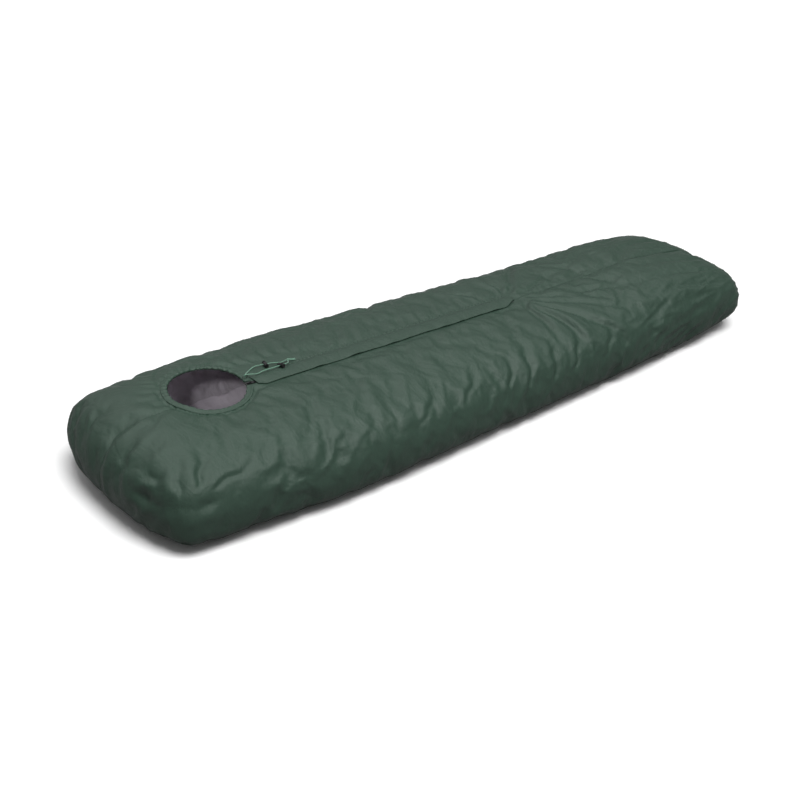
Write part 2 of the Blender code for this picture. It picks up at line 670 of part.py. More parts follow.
def drawcord():
    tube("drawcord_upper", to_knot(from_eyelet(UPPER_RISE, 1, UPPER_ROUTE), -1))
    tube("drawcord_lower", to_knot(from_eyelet(LOWER_RISE, -1, LOWER_ROUTE), -1))
    tube("drawcord_tail_upper", to_knot(UPPER_TAIL, 0))
    tube("drawcord_tail_lower", to_knot(LOWER_TAIL, 0))
    built = bmesh.new()
    bmesh.ops.create_icosphere(built, subdivisions=3, radius=KNOT_RADIUS)
    mesh = bpy.data.meshes.new("drawcord_knot")
    built.to_mesh(mesh)
    built.free()
    mesh.shade_smooth()
    add("drawcord_knot", mesh, CORD).location = placed([KNOT_AT])[0]


def cord_lock(name, route, at, button_side, tilt):
    """A barrel on the straight stretch of a strand, with a sprung button across the cord.

    The lock's empty is on the cord, with Z along the barrel towards the button and X along the cord."""
    stretch = placed(route)
    start, end = Vector(stretch[0]), Vector(stretch[-1])
    along = (end - start).normalized()
    across = Vector((0, button_side * math.cos(tilt), math.sin(tilt)))
    axis = (across - along * across.dot(along)).normalized()
    frame = add(f"{name}_frame", None)
    turned = Matrix((along, axis.cross(along), axis)).transposed()
    share = (world_x(at) - start.x) / (end.x - start.x)
    frame.matrix_world = Matrix.Translation(start.lerp(end, share)) @ turned.to_4x4()

    foot, mouth = -CORD_AT, LOCK_LENGTH - CORD_AT
    floor = foot + LOCK_FLOOR
    shaft = LOCK_BORE - BUTTON_CLEAR
    hole = CORD_RADIUS + CORD_CLEAR

    barrel = rod(f"{name}_barrel", (0, 0, foot), (0, 0, mouth), LOCK_RADIUS, PLASTIC, frame)
    boolean(barrel, rod(f"{name}_bore", (0, 0, floor), (0, 0, mouth + LOCK_FLOOR), LOCK_BORE, None, frame), "DIFFERENCE")
    reach = 2 * LOCK_RADIUS
    boolean(barrel, rod(f"{name}_cord_hole", (-reach, 0, 0), (reach, 0, 0), hole, None, frame), "DIFFERENCE")

    shaft_foot = -hole - BUTTON_FOOT
    head = mouth + BUTTON_TRAVEL + BUTTON_HEAD_GAP
    button = rod(f"{name}_button", (0, 0, head), (0, 0, head + BUTTON_HEAD_LENGTH), BUTTON_HEAD_RADIUS, PLASTIC, frame)
    stem = rod(f"{name}_stem", (0, 0, shaft_foot), (0, 0, head + BUTTON_HEAD_LENGTH / 2), shaft, None, frame)
    boolean(button, stem, "UNION")
    slot = block(f"{name}_slot", (-reach, -hole, -hole), (reach, hole, hole + BUTTON_TRAVEL), None, frame)
    boolean(button, slot, "DIFFERENCE")

    low, high = floor + GAP + SPRING_WIRE, shaft_foot - GAP - SPRING_WIRE
    turn = np.linspace(0, 2 * math.pi * SPRING_TURNS, 12 * SPRING_TURNS + 1)
    radius = shaft - 2 * SPRING_WIRE
    coil = np.column_stack([radius * np.cos(turn), radius * np.sin(turn), low + (high - low) * turn / turn[-1]])
    spring = tube(f"{name}_spring", coil)
    spring.data.bevel_depth = SPRING_WIRE
    spring.data.bevel_resolution = 1
    spring.data.materials.clear()
    spring.data.materials.append(METAL)
    spring.parent = frame


clear_scene()
sewn_shell()
seam_tapes()
face_hem()
drawcord_in_hem()
ZIP_LINE = zip_frame()
zip_halves(ZIP_LINE)
zip_slider(ZIP_LINE)
zip_pull(ZIP_LINE)
storm_flap(ZIP_LINE)
drawcord()
cord_lock("cord_lock_a", UPPER_ROUTE[LOCK_A_STRETCH], LOCK_A_AT, 1, 0.0)
cord_lock("cord_lock_b", LOWER_ROUTE[LOCK_B_STRETCH], LOCK_B_AT, -1, LOCK_B_TILT)
bpy.context.view_layer.update()
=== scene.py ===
"""The looks of a stuffed bivy sack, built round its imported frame. Metres, +Z up.

The sack lies along X with its head end at low X and the sleeper's left at high Y. Places along
it are given as s, the distance from the head end.
"""

import math

import bmesh
import bpy
import numpy as np
from bpy.props import FloatProperty, FloatVectorProperty, IntProperty, PointerProperty
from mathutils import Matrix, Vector


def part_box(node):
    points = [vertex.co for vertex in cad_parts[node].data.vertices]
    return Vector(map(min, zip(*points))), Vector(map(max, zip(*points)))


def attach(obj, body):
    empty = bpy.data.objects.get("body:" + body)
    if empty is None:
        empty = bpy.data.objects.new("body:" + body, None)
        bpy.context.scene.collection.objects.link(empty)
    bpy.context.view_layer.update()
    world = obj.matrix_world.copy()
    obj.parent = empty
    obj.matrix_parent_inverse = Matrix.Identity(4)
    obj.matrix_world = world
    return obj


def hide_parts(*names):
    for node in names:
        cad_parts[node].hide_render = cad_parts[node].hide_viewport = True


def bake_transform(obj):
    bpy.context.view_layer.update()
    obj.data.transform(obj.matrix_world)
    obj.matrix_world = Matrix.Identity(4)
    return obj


bl_info = {
    "name": "Bivy Sack",
    "version": (1, 0, 0),
    "blender": (4, 5, 0),
    "location": "View3D > Sidebar > Bivy Sack",
    "description": "Makes the cloth, hem, flap, zip and cords of a stuffed bivy sack",
    "category": "Object",
}

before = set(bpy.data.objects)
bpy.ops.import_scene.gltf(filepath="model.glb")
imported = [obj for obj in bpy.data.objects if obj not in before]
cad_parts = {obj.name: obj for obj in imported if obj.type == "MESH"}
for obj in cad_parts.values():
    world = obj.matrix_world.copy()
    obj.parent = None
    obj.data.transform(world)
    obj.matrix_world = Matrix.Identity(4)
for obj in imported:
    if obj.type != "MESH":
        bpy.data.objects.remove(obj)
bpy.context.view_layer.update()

# ---------------------------------------------------------------- sizes shared with the frame

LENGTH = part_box("top_panel_left")[1][0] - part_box("top_panel_left")[0][0]
WIDTH_STATIONS = (0.0, 0.55, 1.10, 1.60, LENGTH)
HALF_WIDTHS = (0.297, 0.336, 0.306, 0.275, 0.240)
HEAD_CORNER, FOOT_CORNER, CORNER_POWER = 0.102, 0.102, 2.2
HEAD_SLOPE, FOOT_SLOPE, SLOPE_POWER = 0.156, 0.400, 2.0
SIDE_SHARE, SIDE_POWER, CROWN_POWER, BILGE_POWER = 0.417, 3.73, 2.1, 5.0
FLOOR_PRESS = 0.004
ZIP_START, ZIP_LENGTH = 0.431, 0.894
CROWN_AT_ZIP_START, CROWN_AT_ZIP_END = 0.230, 0.210
HEAD_CROWN_RISE, FOOT_CROWN_RISE = -0.009, 0.048
CROWN_SLOPE = (CROWN_AT_ZIP_END - CROWN_AT_ZIP_START) / ZIP_LENGTH
FLOOR_SEAM_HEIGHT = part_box("floor_panel")[1][2]
FACE_AT, FACE_Y = 0.333, 0.038
FACE_HALF_LENGTH, FACE_HALF_WIDTH = 0.098, 0.104
HEM_HALF_WIDTH, HEM_HALF_HEIGHT, HEM_END_Y = 0.0090, 0.0040, 0.0125
ZIP_SLOT_HALF, ZIP_TAIL = 0.0065, 0.012
FLAP_START, FLAP_END = 0.452, 1.318
FLAP_HALF_WIDTH, FLAP_RISE, FLAP_THICK = 0.029, 0.0060, 0.0015
GAP = 0.0003
CLOTH_THICK = 0.0012
THREAD_SIZE = (0.0026, 0.0006, 0.0005)


# ---------------------------------------------------------------- the stuffed body's shape


def world_x(s):
    """X of a distance s from the head end: the sack's middle is at 0."""
    return s - LENGTH / 2


def eased(distance, radius, power):
    """A rounded corner: 0 at an end of the sack, 1 from radius on."""
    share = np.clip(distance / radius, 0, 1)
    return (1 - (1 - share) ** power) ** (1 / power)


def half_width(s):
    """A smooth cubic through the five half widths."""
    at, half = np.array(WIDTH_STATIONS), np.array(HALF_WIDTHS)
    slope = np.gradient(half, at)
    i = np.clip(np.searchsorted(at, s) - 1, 0, len(at) - 2)
    span = at[i + 1] - at[i]
    t = (s - at[i]) / span
    ends = (2 * t**3 - 3 * t**2 + 1) * half[i] + (3 * t**2 - 2 * t**3) * half[i + 1]
    return ends + span * ((t**3 - 2 * t**2 + t) * slope[i] + (t**3 - t**2) * slope[i + 1])


def crown_line(s):
    """Height of the straight line that the zip follows."""
    return CROWN_AT_ZIP_START + CROWN_SLOPE * (s - ZIP_START)


def crown(s):
    """Height of the crown: the zip's line, with a parabola added towards each end."""
    zip_end = ZIP_START + ZIP_LENGTH
    head = np.clip((ZIP_START - s) / ZIP_START, 0, None)
    foot = np.clip((s - zip_end) / (LENGTH - zip_end), 0, None)
    return crown_line(s) + HEAD_CROWN_RISE * head**2 + FOOT_CROWN_RISE * foot**2


def section(s):
    """Half width, height of the widest line, rise above it and depth below it."""
    corners = eased(s, HEAD_CORNER, CORNER_POWER) * eased(LENGTH - s, FOOT_CORNER, CORNER_POWER)
    slopes = eased(s, HEAD_SLOPE, SLOPE_POWER) * eased(LENGTH - s, FOOT_SLOPE, SLOPE_POWER)
    side = SIDE_SHARE * crown(s)
    return half_width(s) * corners, side, (crown(s) - side) * slopes, (side + FLOOR_PRESS) * slopes


def top_z(s, y):
    """Height of the smooth top surface: a superellipse across the sack."""
    half, side, rise, _ = section(np.asarray(s, float))
    share = np.clip(np.abs(y) / np.maximum(half, 1e-6), 0, 1)
    return side + rise * (1 - share**SIDE_POWER) ** (1 / CROWN_POWER)


def quarter(steps, side_power, middle_power):
    """Angles from the side (0) to the middle (pi / 2), spread so that a superellipse's points are even."""
    u = np.linspace(0, 1, steps + 1)
    rise, fall = u ** (side_power / 2), (1 - u) ** (middle_power / 2)
    return math.pi / 2 * rise / (rise + fall)


# ---------------------------------------------------------------- mesh tools


def linked(name, data):
    """A new object at the origin for a mesh, lamp or camera, in the scene."""
    obj = bpy.data.objects.new(name, data)
    bpy.context.scene.collection.objects.link(obj)
    return obj


def set_uv(mesh, uv):
    """Gives a mesh its UV map from one pair per vertex."""
    layer = mesh.uv_layers.new(name="UVMap")
    loops = np.empty(len(mesh.loops), np.int32)
    mesh.loops.foreach_get("vertex_index", loops)
    layer.data.foreach_set("uv", np.asarray(uv, float)[loops].ravel())


def mesh_object(name, points, faces, uv=None):
    """An object at the origin from points and a list of faces, shaded smooth."""
    mesh = bpy.data.meshes.new(name)
    mesh.from_pydata(np.asarray(points, float).tolist(), [], faces)
    if uv is not None:
        set_uv(mesh, uv)
    mesh.shade_smooth()
    return linked(name, mesh)


def grid_faces(rows, columns, wrap=False):
    """Quads between neighbouring rows and columns of a grid; wrap joins the last column to the first."""
    i, j = np.meshgrid(np.arange(rows - 1), np.arange(columns if wrap else columns - 1), indexing="ij")
    k = (j + 1) % columns
    quads = np.stack([i * columns + j, i * columns + k, (i + 1) * columns + k, (i + 1) * columns + j], -1)
    return quads.reshape(-1, 4)


def closed_faces(rows, columns):
    """The quads of a grid that is joined to itself both ways, as a ring's or a knot's is."""
    i, j = np.meshgrid(np.arange(rows), np.arange(columns), indexing="ij")
    k, m = (i + 1) % rows, (j + 1) % columns
    quads = np.stack([i * columns + j, i * columns + m, k * columns + m, k * columns + j], -1)
    return quads.reshape(-1, 4).tolist()


def vertex_array(mesh):
    """Every vertex's place."""
    data = np.empty(len(mesh.vertices) * 3)
    mesh.vertices.foreach_get("co", data)
    return data.reshape(-1, 3)


def normal_array(mesh):
    """Every vertex's normal."""
    data = np.empty(len(mesh.vertices) * 3)
    mesh.vertex_normals.foreach_get("vector", data)
    return data.reshape(-1, 3)


def face_outward(mesh):
    """Turns every face of a closed mesh outwards."""
    made = bmesh.new()
    made.from_mesh(mesh)
    bmesh.ops.recalc_face_normals(made, faces=made.faces)
    made.to_mesh(mesh)
    made.free()


def evaluated_mesh(obj):
    """The mesh that an object's modifiers make, as a new mesh."""
    graph = bpy.context.evaluated_depsgraph_get()
    graph.update()
    return bpy.data.meshes.new_from_object(obj.evaluated_get(graph))


def body_mesh():
    """The smooth stuffed form: superellipse sections from head to foot, closed to a point at each end."""
    turn = np.linspace(0, math.pi, 140)
    s = LENGTH * (1 - np.cos(turn)) / 2
    half, side, rise, depth = (part[1:-1, None] for part in section(s))
    top = quarter(34, CROWN_POWER, SIDE_POWER)[::-1]
    under = -quarter(22, BILGE_POWER, SIDE_POWER)[1:]
    angle = np.concatenate([top, under])
    right, up = np.abs(np.cos(angle)) ** (2 / SIDE_POWER), np.abs(np.sin(angle))
    right[0] = right[-1] = 0
    over = side + rise * up ** (2 / CROWN_POWER)
    below = np.maximum(side - depth * up ** (2 / BILGE_POWER), 0)
    heights = np.where(angle >= 0, over, below)
    y = half * np.concatenate([right, -right[-2:0:-1]])
    z = np.concatenate([heights, heights[:, -2:0:-1]], axis=1)
    x = np.broadcast_to(world_x(s)[1:-1, None], y.shape)
    rings, around = y.shape
    tips = SIDE_SHARE * crown(s[[0, -1]])
    ends = [(world_x(0), 0, tips[0]), (world_x(LENGTH), 0, tips[1])]
    points = np.concatenate([np.stack([x, y, z], -1).reshape(-1, 3), ends])
    j = np.arange(around)
    k = (j + 1) % around
    head, foot, last = rings * around, rings * around + 1, (rings - 1) * around
    head_cap = np.stack([j, 0 * j + head, k], 1)
    foot_cap = np.stack([last + j, last + k, 0 * j + foot], 1)
    faces = grid_faces(rings, around, True).tolist() + head_cap.tolist() + foot_cap.tolist()
    mesh = bpy.data.meshes.new("body")
    mesh.from_pydata(points.tolist(), [], faces)
    face_outward(mesh)
    return mesh


# ---------------------------------------------------------------- folds in the cloth

SETTLING_STEPS = 13
WRINKLE_CAP, SWELL_CAP = 0.0038, 0.003
EVEN_FACE = 0.006


def unrolled(points):
    """Places on the cloth laid flat: s, and the distance v round from the crown, negative to the right."""
    s = points[:, 0] + LENGTH / 2
    drop = np.maximum(crown(s) - points[:, 2], 0)
    return s, np.sign(points[:, 1]) * (np.abs(points[:, 1]) + drop)


def ramp(x, low, high):
    """A smooth step from 0 at low to 1 at high."""
    t = np.clip((x - low) / (high - low), 0, 1)
    return t * t * (3 - 2 * t)


def waves(u, v, size, seed):
    """Smooth noise of about one wave in size: a sum of five plane waves in turned directions."""
    total = 0
    for k in range(5):
        turn = seed + 2.4 * k
        pace = (0.75 + 0.16 * k) * 2 * math.pi / size
        bend = 0.6 * np.sin(pace * 0.31 * (u * math.sin(turn) - v * math.cos(turn)) + seed)
        total = total + np.sin(pace * (u * math.cos(turn) + v * math.sin(turn)) + bend + 1.7 * k + seed)
    return total / 5


def face_distance(s, y):
    """Roughly how far a place lies outside the face opening's inner edge, in metres."""
    out = np.hypot((s - FACE_AT) / FACE_HALF_LENGTH, (y - FACE_Y) / FACE_HALF_WIDTH)
    return (out - 1) * (FACE_HALF_LENGTH + FACE_HALF_WIDTH) / 2


def face_lift(s, y):
    """The opening's far edge stands a little proud and its near edge dips."""
    beyond = np.maximum(face_distance(s, y), 0)
    tilt = (y - FACE_Y) / FACE_HALF_WIDTH * ramp(np.abs(y), 0.012, 0.050)
    return 0.0075 * tilt * np.exp(-((beyond / 0.05) ** 2))


# Long creases: from (s, v) to (s, v), half width and depth. Strongest at the first end.
CREASES = (
    ((1.335, -0.030), (1.290, -0.390), 0.011, 0.0050),
    ((1.338, -0.030), (1.420, -0.430), 0.012, 0.0055),
    ((1.342, -0.024), (1.560, -0.370), 0.011, 0.0045),
    ((1.346, -0.016), (1.720, -0.300), 0.012, 0.0045),
    ((1.350, -0.008), (1.900, -0.170), 0.013, 0.0040),
    ((1.346, 0.020), (1.780, 0.150), 0.012, 0.0040),
    ((1.342, 0.034), (1.520, 0.290), 0.011, 0.0045),
    ((1.330, 0.046), (1.350, 0.330), 0.010, 0.0045),
    ((1.250, 0.046), (1.140, 0.260), 0.010, 0.0035),
    ((1.130, -0.400), (1.180, -0.160), 0.012, 0.0050),
    ((1.220, -0.410), (1.270, -0.190), 0.011, 0.0055),
    ((1.060, -0.380), (1.120, -0.200), 0.010, 0.0040),
    ((1.300, -0.390), (1.370, -0.220), 0.010, 0.0050),
    ((1.420, -0.380), (1.500, -0.260), 0.010, 0.0040),
    ((0.900, -0.370), (1.010, -0.230), 0.010, 0.0035),
    ((0.760, -0.380), (0.850, -0.270), 0.010, 0.0030),
    ((0.120, -0.330), (0.190, -0.150), 0.013, 0.0060),
    ((0.075, -0.330), (0.110, -0.160), 0.012, 0.0050),
    ((0.150, -0.350), (0.330, -0.300), 0.012, 0.0040),
    ((0.050, -0.260), (0.035, -0.120), 0.013, 0.0050),
    ((0.020, -0.150), (0.080, -0.030), 0.012, 0.0035),
    ((0.030, 0.060), (0.120, 0.020), 0.012, 0.0030),
    ((0.035, 0.170), (0.130, 0.110), 0.013, 0.0035),
    ((0.470, 0.060), (0.452, 0.200), 0.008, 0.0040),
    ((0.500, 0.060), (0.492, 0.220), 0.009, 0.0035),
    ((0.540, 0.055), (0.560, 0.230), 0.009, 0.0035),
    ((0.610, 0.050), (0.650, 0.220), 0.009, 0.0030),
    ((2.040, -0.150), (1.760, -0.060), 0.013, 0.0045),
    ((2.040, 0.150), (1.800, 0.060), 0.013, 0.0045),
    ((2.050, -0.060), (1.800, 0.010), 0.012, 0.0035),
    ((2.030, 0.060), (1.740, 0.040), 0.011, 0.0035),
    ((1.960, -0.280), (1.700, -0.200), 0.013, 0.0045),
    ((2.000, -0.220), (1.720, -0.130), 0.011, 0.0035),
)


def crease(s, v, start, end, half, depth):
    """A valley with a ridge along one side, following a slightly bowed line and fading along it."""
    run, side = end[0] - start[0], end[1] - start[1]
    long = math.hypot(run, side)
    along = ((s - start[0]) * run + (v - start[1]) * side) / long**2
    off = ((s - start[0]) * -side + (v - start[1]) * run) / long
    off = off + 0.035 * long * np.sin(math.pi * np.clip(along, 0, 1))
    off = off + 0.004 * np.sin(14 * along + 9 * start[0])
    fade = ramp(along, -0.06, 0.10) * (1 - ramp(along, 0.35, 1.0))
    spread = 0.62 * half * (1 + 1.4 * np.clip(along, 0, 1))
    valley = np.exp(-((off / spread) ** 2))
    ridge = np.exp(-(((off - 1.9 * spread) / (1.3 * spread)) ** 2))
    return 1.15 * depth * fade * (0.55 * ridge - valley)


def ridged(u, v, size, seed):
    """Noise with sharp ridges between round hollows, from 0 to 1: one less the absolute value of waves."""
    bent_u = u + 0.10 * size * np.sin(v * 9 / size * 0.5 + seed)
    bent_v = v + 0.12 * size * np.sin(u * 7 / size * 0.5 + seed)
    return 1 - np.minimum(np.abs(waves(bent_u, bent_v, size, seed)) * 2.2, 1)


def zip_end_fan(s, v):
    """Long streaks that run out from the zip's foot end towards the foot and down both sides."""
    run, side = s - 1.335, v
    reach = np.hypot(run, side)
    turn = np.arctan2(side, run)
    wander = turn + 0.10 * np.sin(7 * reach + 2 * turn)
    coarse = np.abs(np.sin(6.5 * wander + 0.8 * np.sin(2.3 * turn)))
    fine = np.abs(np.sin(15 * wander + 1.3 * np.sin(5 * turn) + 3 * reach))
    streak = 0.0040 * (0.64 - coarse) * ramp(reach, 0.05, 0.22)
    streak = streak + 0.0020 * (0.64 - fine) * ramp(reach, 0.01, 0.08)
    return streak * np.exp(-((reach / 0.46) ** 2)) * ramp(run, -0.14, 0.05)


def foot_streaks(s, v):
    """Streaks along the sack over its foot, a little turned, each some decimetres long."""
    across = v - 0.18 * (s - 1.7)
    broken = 0.5 + 0.5 * waves(s, v, 0.42, 6.0)
    line = ridged(0.22 * s, across, 0.052, 9.0)
    return 0.0030 * (line - 0.55) * np.clip(broken + 0.3, 0, 1) * ramp(s, 1.42, 1.60)


def flap_puckers(s, v):
    """Slanting puckers that the flap's seam throws out over the far side."""
    beside = np.exp(-((np.maximum(v - 0.040, 0) / 0.085) ** 2)) * ramp(v, 0.036, 0.048)
    beside = beside * ramp(s, 0.45, 0.50) * (1 - ramp(s, 1.28, 1.36))
    slant = s - 0.42 * v + 0.006 * np.sin(31 * s) + 0.010 * np.sin(11 * s + 1)
    uneven = 0.55 + 0.45 * np.sin(19 * s + 0.7) * np.sin(7.3 * s)
    line = np.abs(np.sin(math.pi * slant / 0.047)) + 0.35 * np.abs(np.sin(math.pi * slant / 0.0285 + 0.6))
    return 0.0026 * beside * uneven * (0.85 - line)


def corner_dent(s, y, z):
    """The head's right corner pushed in: a slanting hollow with a fold over it and one under it."""
    along = 0.75 * (s - 0.100) + 0.66 * (y + 0.270)
    over = z - 0.138 - 0.25 * along
    near = np.exp(-((along / 0.024) ** 2)) * (y < 0) * (s < 0.3)
    hollow = np.exp(-((over / 0.014) ** 2))
    folds = np.exp(-(((over - 0.030) / 0.016) ** 2)) + 0.7 * np.exp(-(((over + 0.028) / 0.015) ** 2))
    return near * (0.0040 * folds - 0.0090 * hollow)


def fold_heights(points):
    """How far the cloth stands out from the smooth form, in metres: broad waves, sharp crumples that
    are strongest on the right side, listed creases, streaks from the zip's foot end and over the
    foot, puckers beside the flap and round the opening, and a dented corner."""
    s, v = unrolled(points)
    y, z = points[:, 1], points[:, 2]
    out = 0.0022 * waves(s, v, 0.30, 1.0) + 0.0012 * waves(s, 1.5 * v, 0.12, 4.0)
    hips = np.exp(-(((s - 1.16) / 0.30) ** 2) - ((v + 0.30) / 0.13) ** 2)
    sides = ramp(np.abs(v), 0.16, 0.30)
    crumpled = 0.25 + 0.75 * hips + 0.25 * sides
    out = out + 0.0016 * crumpled * (ridged(s - 0.5 * v, 0.55 * v, 0.085, 3.0) - 0.5)
    out = out + 0.0011 * crumpled * (ridged(s + 0.35 * v, 0.7 * v, 0.040, 5.0) - 0.5)
    for start, end, half, depth in CREASES:
        out = out + crease(s, v, start, end, half, depth)
    out = out + zip_end_fan(s, v) + foot_streaks(s, v) + flap_puckers(s, v) + corner_dent(s, y, z)
    # soft upright folds on the head end
    head_end = (1 - ramp(s, 0.05, 0.16)) * ramp(z, 0.03, 0.09)
    out = out + 0.0040 * (ridged(y, 0.3 * z, 0.150, 2.0) - 0.5) * head_end
    # gathers round the face opening, deepest on the far side
    beyond = face_distance(s, y)
    around = np.arctan2(y - FACE_Y, s - FACE_AT)
    gather = np.sin(31 * around + 2.2 * np.sin(3 * around))
    fade = np.exp(-((np.maximum(beyond, 0) / 0.050) ** 2))
    out = out + (0.0010 + 0.0012 * ramp(y, 0.0, 0.12)) * gather * fade
    # the centre seam draws the cloth in a little at both ends
    seam = (ramp(s, 1.36, 1.42) + 1 - ramp(s, 0.15, 0.21)) * (0.7 + 0.3 * np.sin(2 * math.pi * s / 0.07))
    out = out - 0.0014 * seam * np.exp(-((v / 0.010) ** 2))
    # the facing's seam, an arch over the opening's far side
    arch = (np.hypot((s - 0.348) / 0.112, (y - 0.070) / 0.170) - 1) * 0.14
    out = out - 0.0028 * np.exp(-((arch / 0.005) ** 2)) * ramp(y, 0.05, 0.09)
    # the cloth dips where the hem is sewn to it
    out = out - 0.0036 * np.exp(-(((beyond - 0.0235) / 0.0055) ** 2))
    # nothing moves under the zip, the flap and the cords, at the hem or where the sack rests
    left_edge = 0.036 + 0.056 * (1 - ramp(s, 0.60, 0.66))
    flat = ramp(s, 0.43, 0.46) * (1 - ramp(s, 1.325, 1.36)) * ramp(v, -0.040, -0.031)
    flat = flat * (1 - ramp(v, left_edge, left_edge + 0.010))
    rest = ramp(z, 0.006, 0.075)
    return settings().fold_depth * out * (1 - flat) * ramp(beyond, 0.016, 0.021) * rest


def smoothed(values, edges, passes):
    """Each pass moves every point halfway to the mean of its neighbours along the edges."""
    count = len(values)
    ends, others = np.concatenate([edges, edges[:, ::-1]]).T
    near = np.maximum(np.bincount(ends, minlength=count), 1)[:, None]
    for _ in range(passes):
        mean = np.stack([np.bincount(ends, values[others, k], count) for k in range(3)], 1) / near
        values = (values + mean) / 2
    return values


def capped(moves, most):
    """Moves shortened to at most this length."""
    size = np.linalg.norm(moves, axis=1, keepdims=True)
    return moves * np.minimum(1, most / np.maximum(size, 1e-9))


def settle_cloth(obj, base, edges):
    """Cloth cut slightly larger than the form, blown tight from inside and held at its seams, wrinkles
    where it is held. Broad swelling is taken back out, so that only the wrinkles stay."""
    s, v = unrolled(base)
    seams = np.abs(v) < 0.005
    # the cord locks slide over the first stretch beside the zip, so the still zone is wider there
    zip_zone = (v > -0.040) & (v < np.where(s < 0.62, 0.095, 0.044)) & (s > 0.43) & (s < 1.335)
    hem = np.abs(face_distance(s, base[:, 1]) - 0.009) < 0.012
    held = np.where(seams | zip_zone | hem, 1.0, 0.04) * (base[:, 2] > 0.05)
    held = np.where(base[:, 2] < 0.010, 1.0, np.maximum(held, 0.04))
    group = obj.vertex_groups.new(name="held")
    for weight in np.unique(held):
        group.add(np.flatnonzero(held == weight).tolist(), float(weight), "REPLACE")
    cloth = obj.modifiers.new("cloth", "CLOTH")
    cloth.collision_settings.use_collision = False
    cloth.collision_settings.use_self_collision = False
    settings = cloth.settings
    settings.quality = 4
    settings.mass = 0.15
    settings.tension_stiffness = settings.compression_stiffness = 15
    settings.shear_stiffness = 5
    settings.bending_stiffness = 0.6
    settings.vertex_group_mass = "held"
    settings.pin_stiffness = 1.0
    settings.shrink_min = -0.028
    settings.use_pressure = True
    settings.uniform_pressure_force = 0.8
    settings.effector_weights.gravity = 0
    for step in range(1, SETTLING_STEPS + 1):
        bpy.context.scene.frame_set(step)
    settled = evaluated_mesh(obj)
    moved = vertex_array(settled) - base
    bpy.data.meshes.remove(settled)
    bpy.context.scene.frame_set(1)
    obj.modifiers.remove(cloth)
    broad = smoothed(moved, edges, 60)
    fine = smoothed(moved - broad, edges, 2)
    return base + capped(fine, WRINKLE_CAP) + capped(broad, SWELL_CAP)


def stuffed_cloth():
    """The whole sewn skin in one mesh of even faces, folded and settled but not yet cut into panels."""
    form = linked("form", body_mesh())
    even = form.modifiers.new("even", "REMESH")
    even.mode = "VOXEL"
    even.voxel_size = EVEN_FACE
    mesh = evaluated_mesh(form)
    bpy.data.objects.remove(form)
    points = vertex_array(mesh)
    normals = normal_array(mesh)
    edges = np.empty(len(mesh.edges) * 2, np.int32)
    mesh.edges.foreach_get("vertices", edges)
    edges = edges.reshape(-1, 2)
    points = points + normals * fold_heights(points)[:, None]
    above = points[:, 2] > 0.1
    s = points[:, 0] + LENGTH / 2
    points[:, 2] += above * face_lift(s, points[:, 1])
    mesh.vertices.foreach_set("co", points.ravel())
    mesh.update()
    obj = linked("skin", mesh)
    points = settle_cloth(obj, points, edges)
    points[:, 2] = np.maximum(points[:, 2], 0)
    mesh.vertices.foreach_set("co", points.ravel())
    mesh.update()
    return obj


def snap_to_opening(made):
    """Removes the faces inside the hem's line and puts the edge that is left exactly on that line.

    The line is an ellipse. A place's reach is its distance from the middle, over the ellipse's radius
    that way, so the faces with reach below 1 go, and the edge's places are divided by their reach.
    """
    middle = np.array((world_x(FACE_AT), FACE_Y))
    half = np.array((FACE_HALF_LENGTH, FACE_HALF_WIDTH)) + 1.3 * HEM_HALF_WIDTH
    faces = list(made.faces)
    centres = np.array([face.calc_center_median() for face in faces])
    reach = np.linalg.norm((centres[:, :2] - middle) / half, axis=1)
    inside = [faces[k] for k in np.flatnonzero((reach < 1) & (centres[:, 2] > 0.1))]
    touched = {vert for face in inside for vert in face.verts}
    bmesh.ops.delete(made, geom=inside, context="FACES")
    edge = [vert for vert in touched if vert.is_valid and vert.is_boundary]
    off = np.array([vert.co[:2] for vert in edge]) - middle
    flat = middle + off / np.linalg.norm(off / half, axis=1)[:, None]
    s = flat[:, 0] + LENGTH / 2
    height = top_z(s, flat[:, 1]) + face_lift(s, flat[:, 1])
    for vert, place in zip(edge, np.column_stack([flat, height])):
        vert.co = place


def cut_skin(skin):
    """The skin cut along its seams and the zip's slot, with the opening's edge trimmed."""
    made = bmesh.new()
    made.from_mesh(skin.data)
    cuts = (
        ((0, 0, FLOOR_SEAM_HEIGHT), (0, 0, 1)),
        ((0, 0, 0), (0, 1, 0)),
        ((0, ZIP_SLOT_HALF, 0), (0, 1, 0)),
        ((0, -ZIP_SLOT_HALF, 0), (0, 1, 0)),
        ((world_x(ZIP_START + ZIP_LENGTH), 0, 0), (1, 0, 0)),
    )
    for place, across in cuts:
        everything = made.verts[:] + made.edges[:] + made.faces[:]
        bmesh.ops.bisect_plane(made, geom=everything, dist=1e-6, plane_co=place, plane_no=across)
    low, high = world_x(FACE_AT), world_x(ZIP_START + ZIP_LENGTH)
    slot = []
    for face in made.faces:
        middle = face.calc_center_median()
        if abs(middle.y) < ZIP_SLOT_HALF and low < middle.x < high and middle.z > 0.1:
            slot.append(face)
    bmesh.ops.delete(made, geom=slot, context="FACES")
    snap_to_opening(made)
    return made


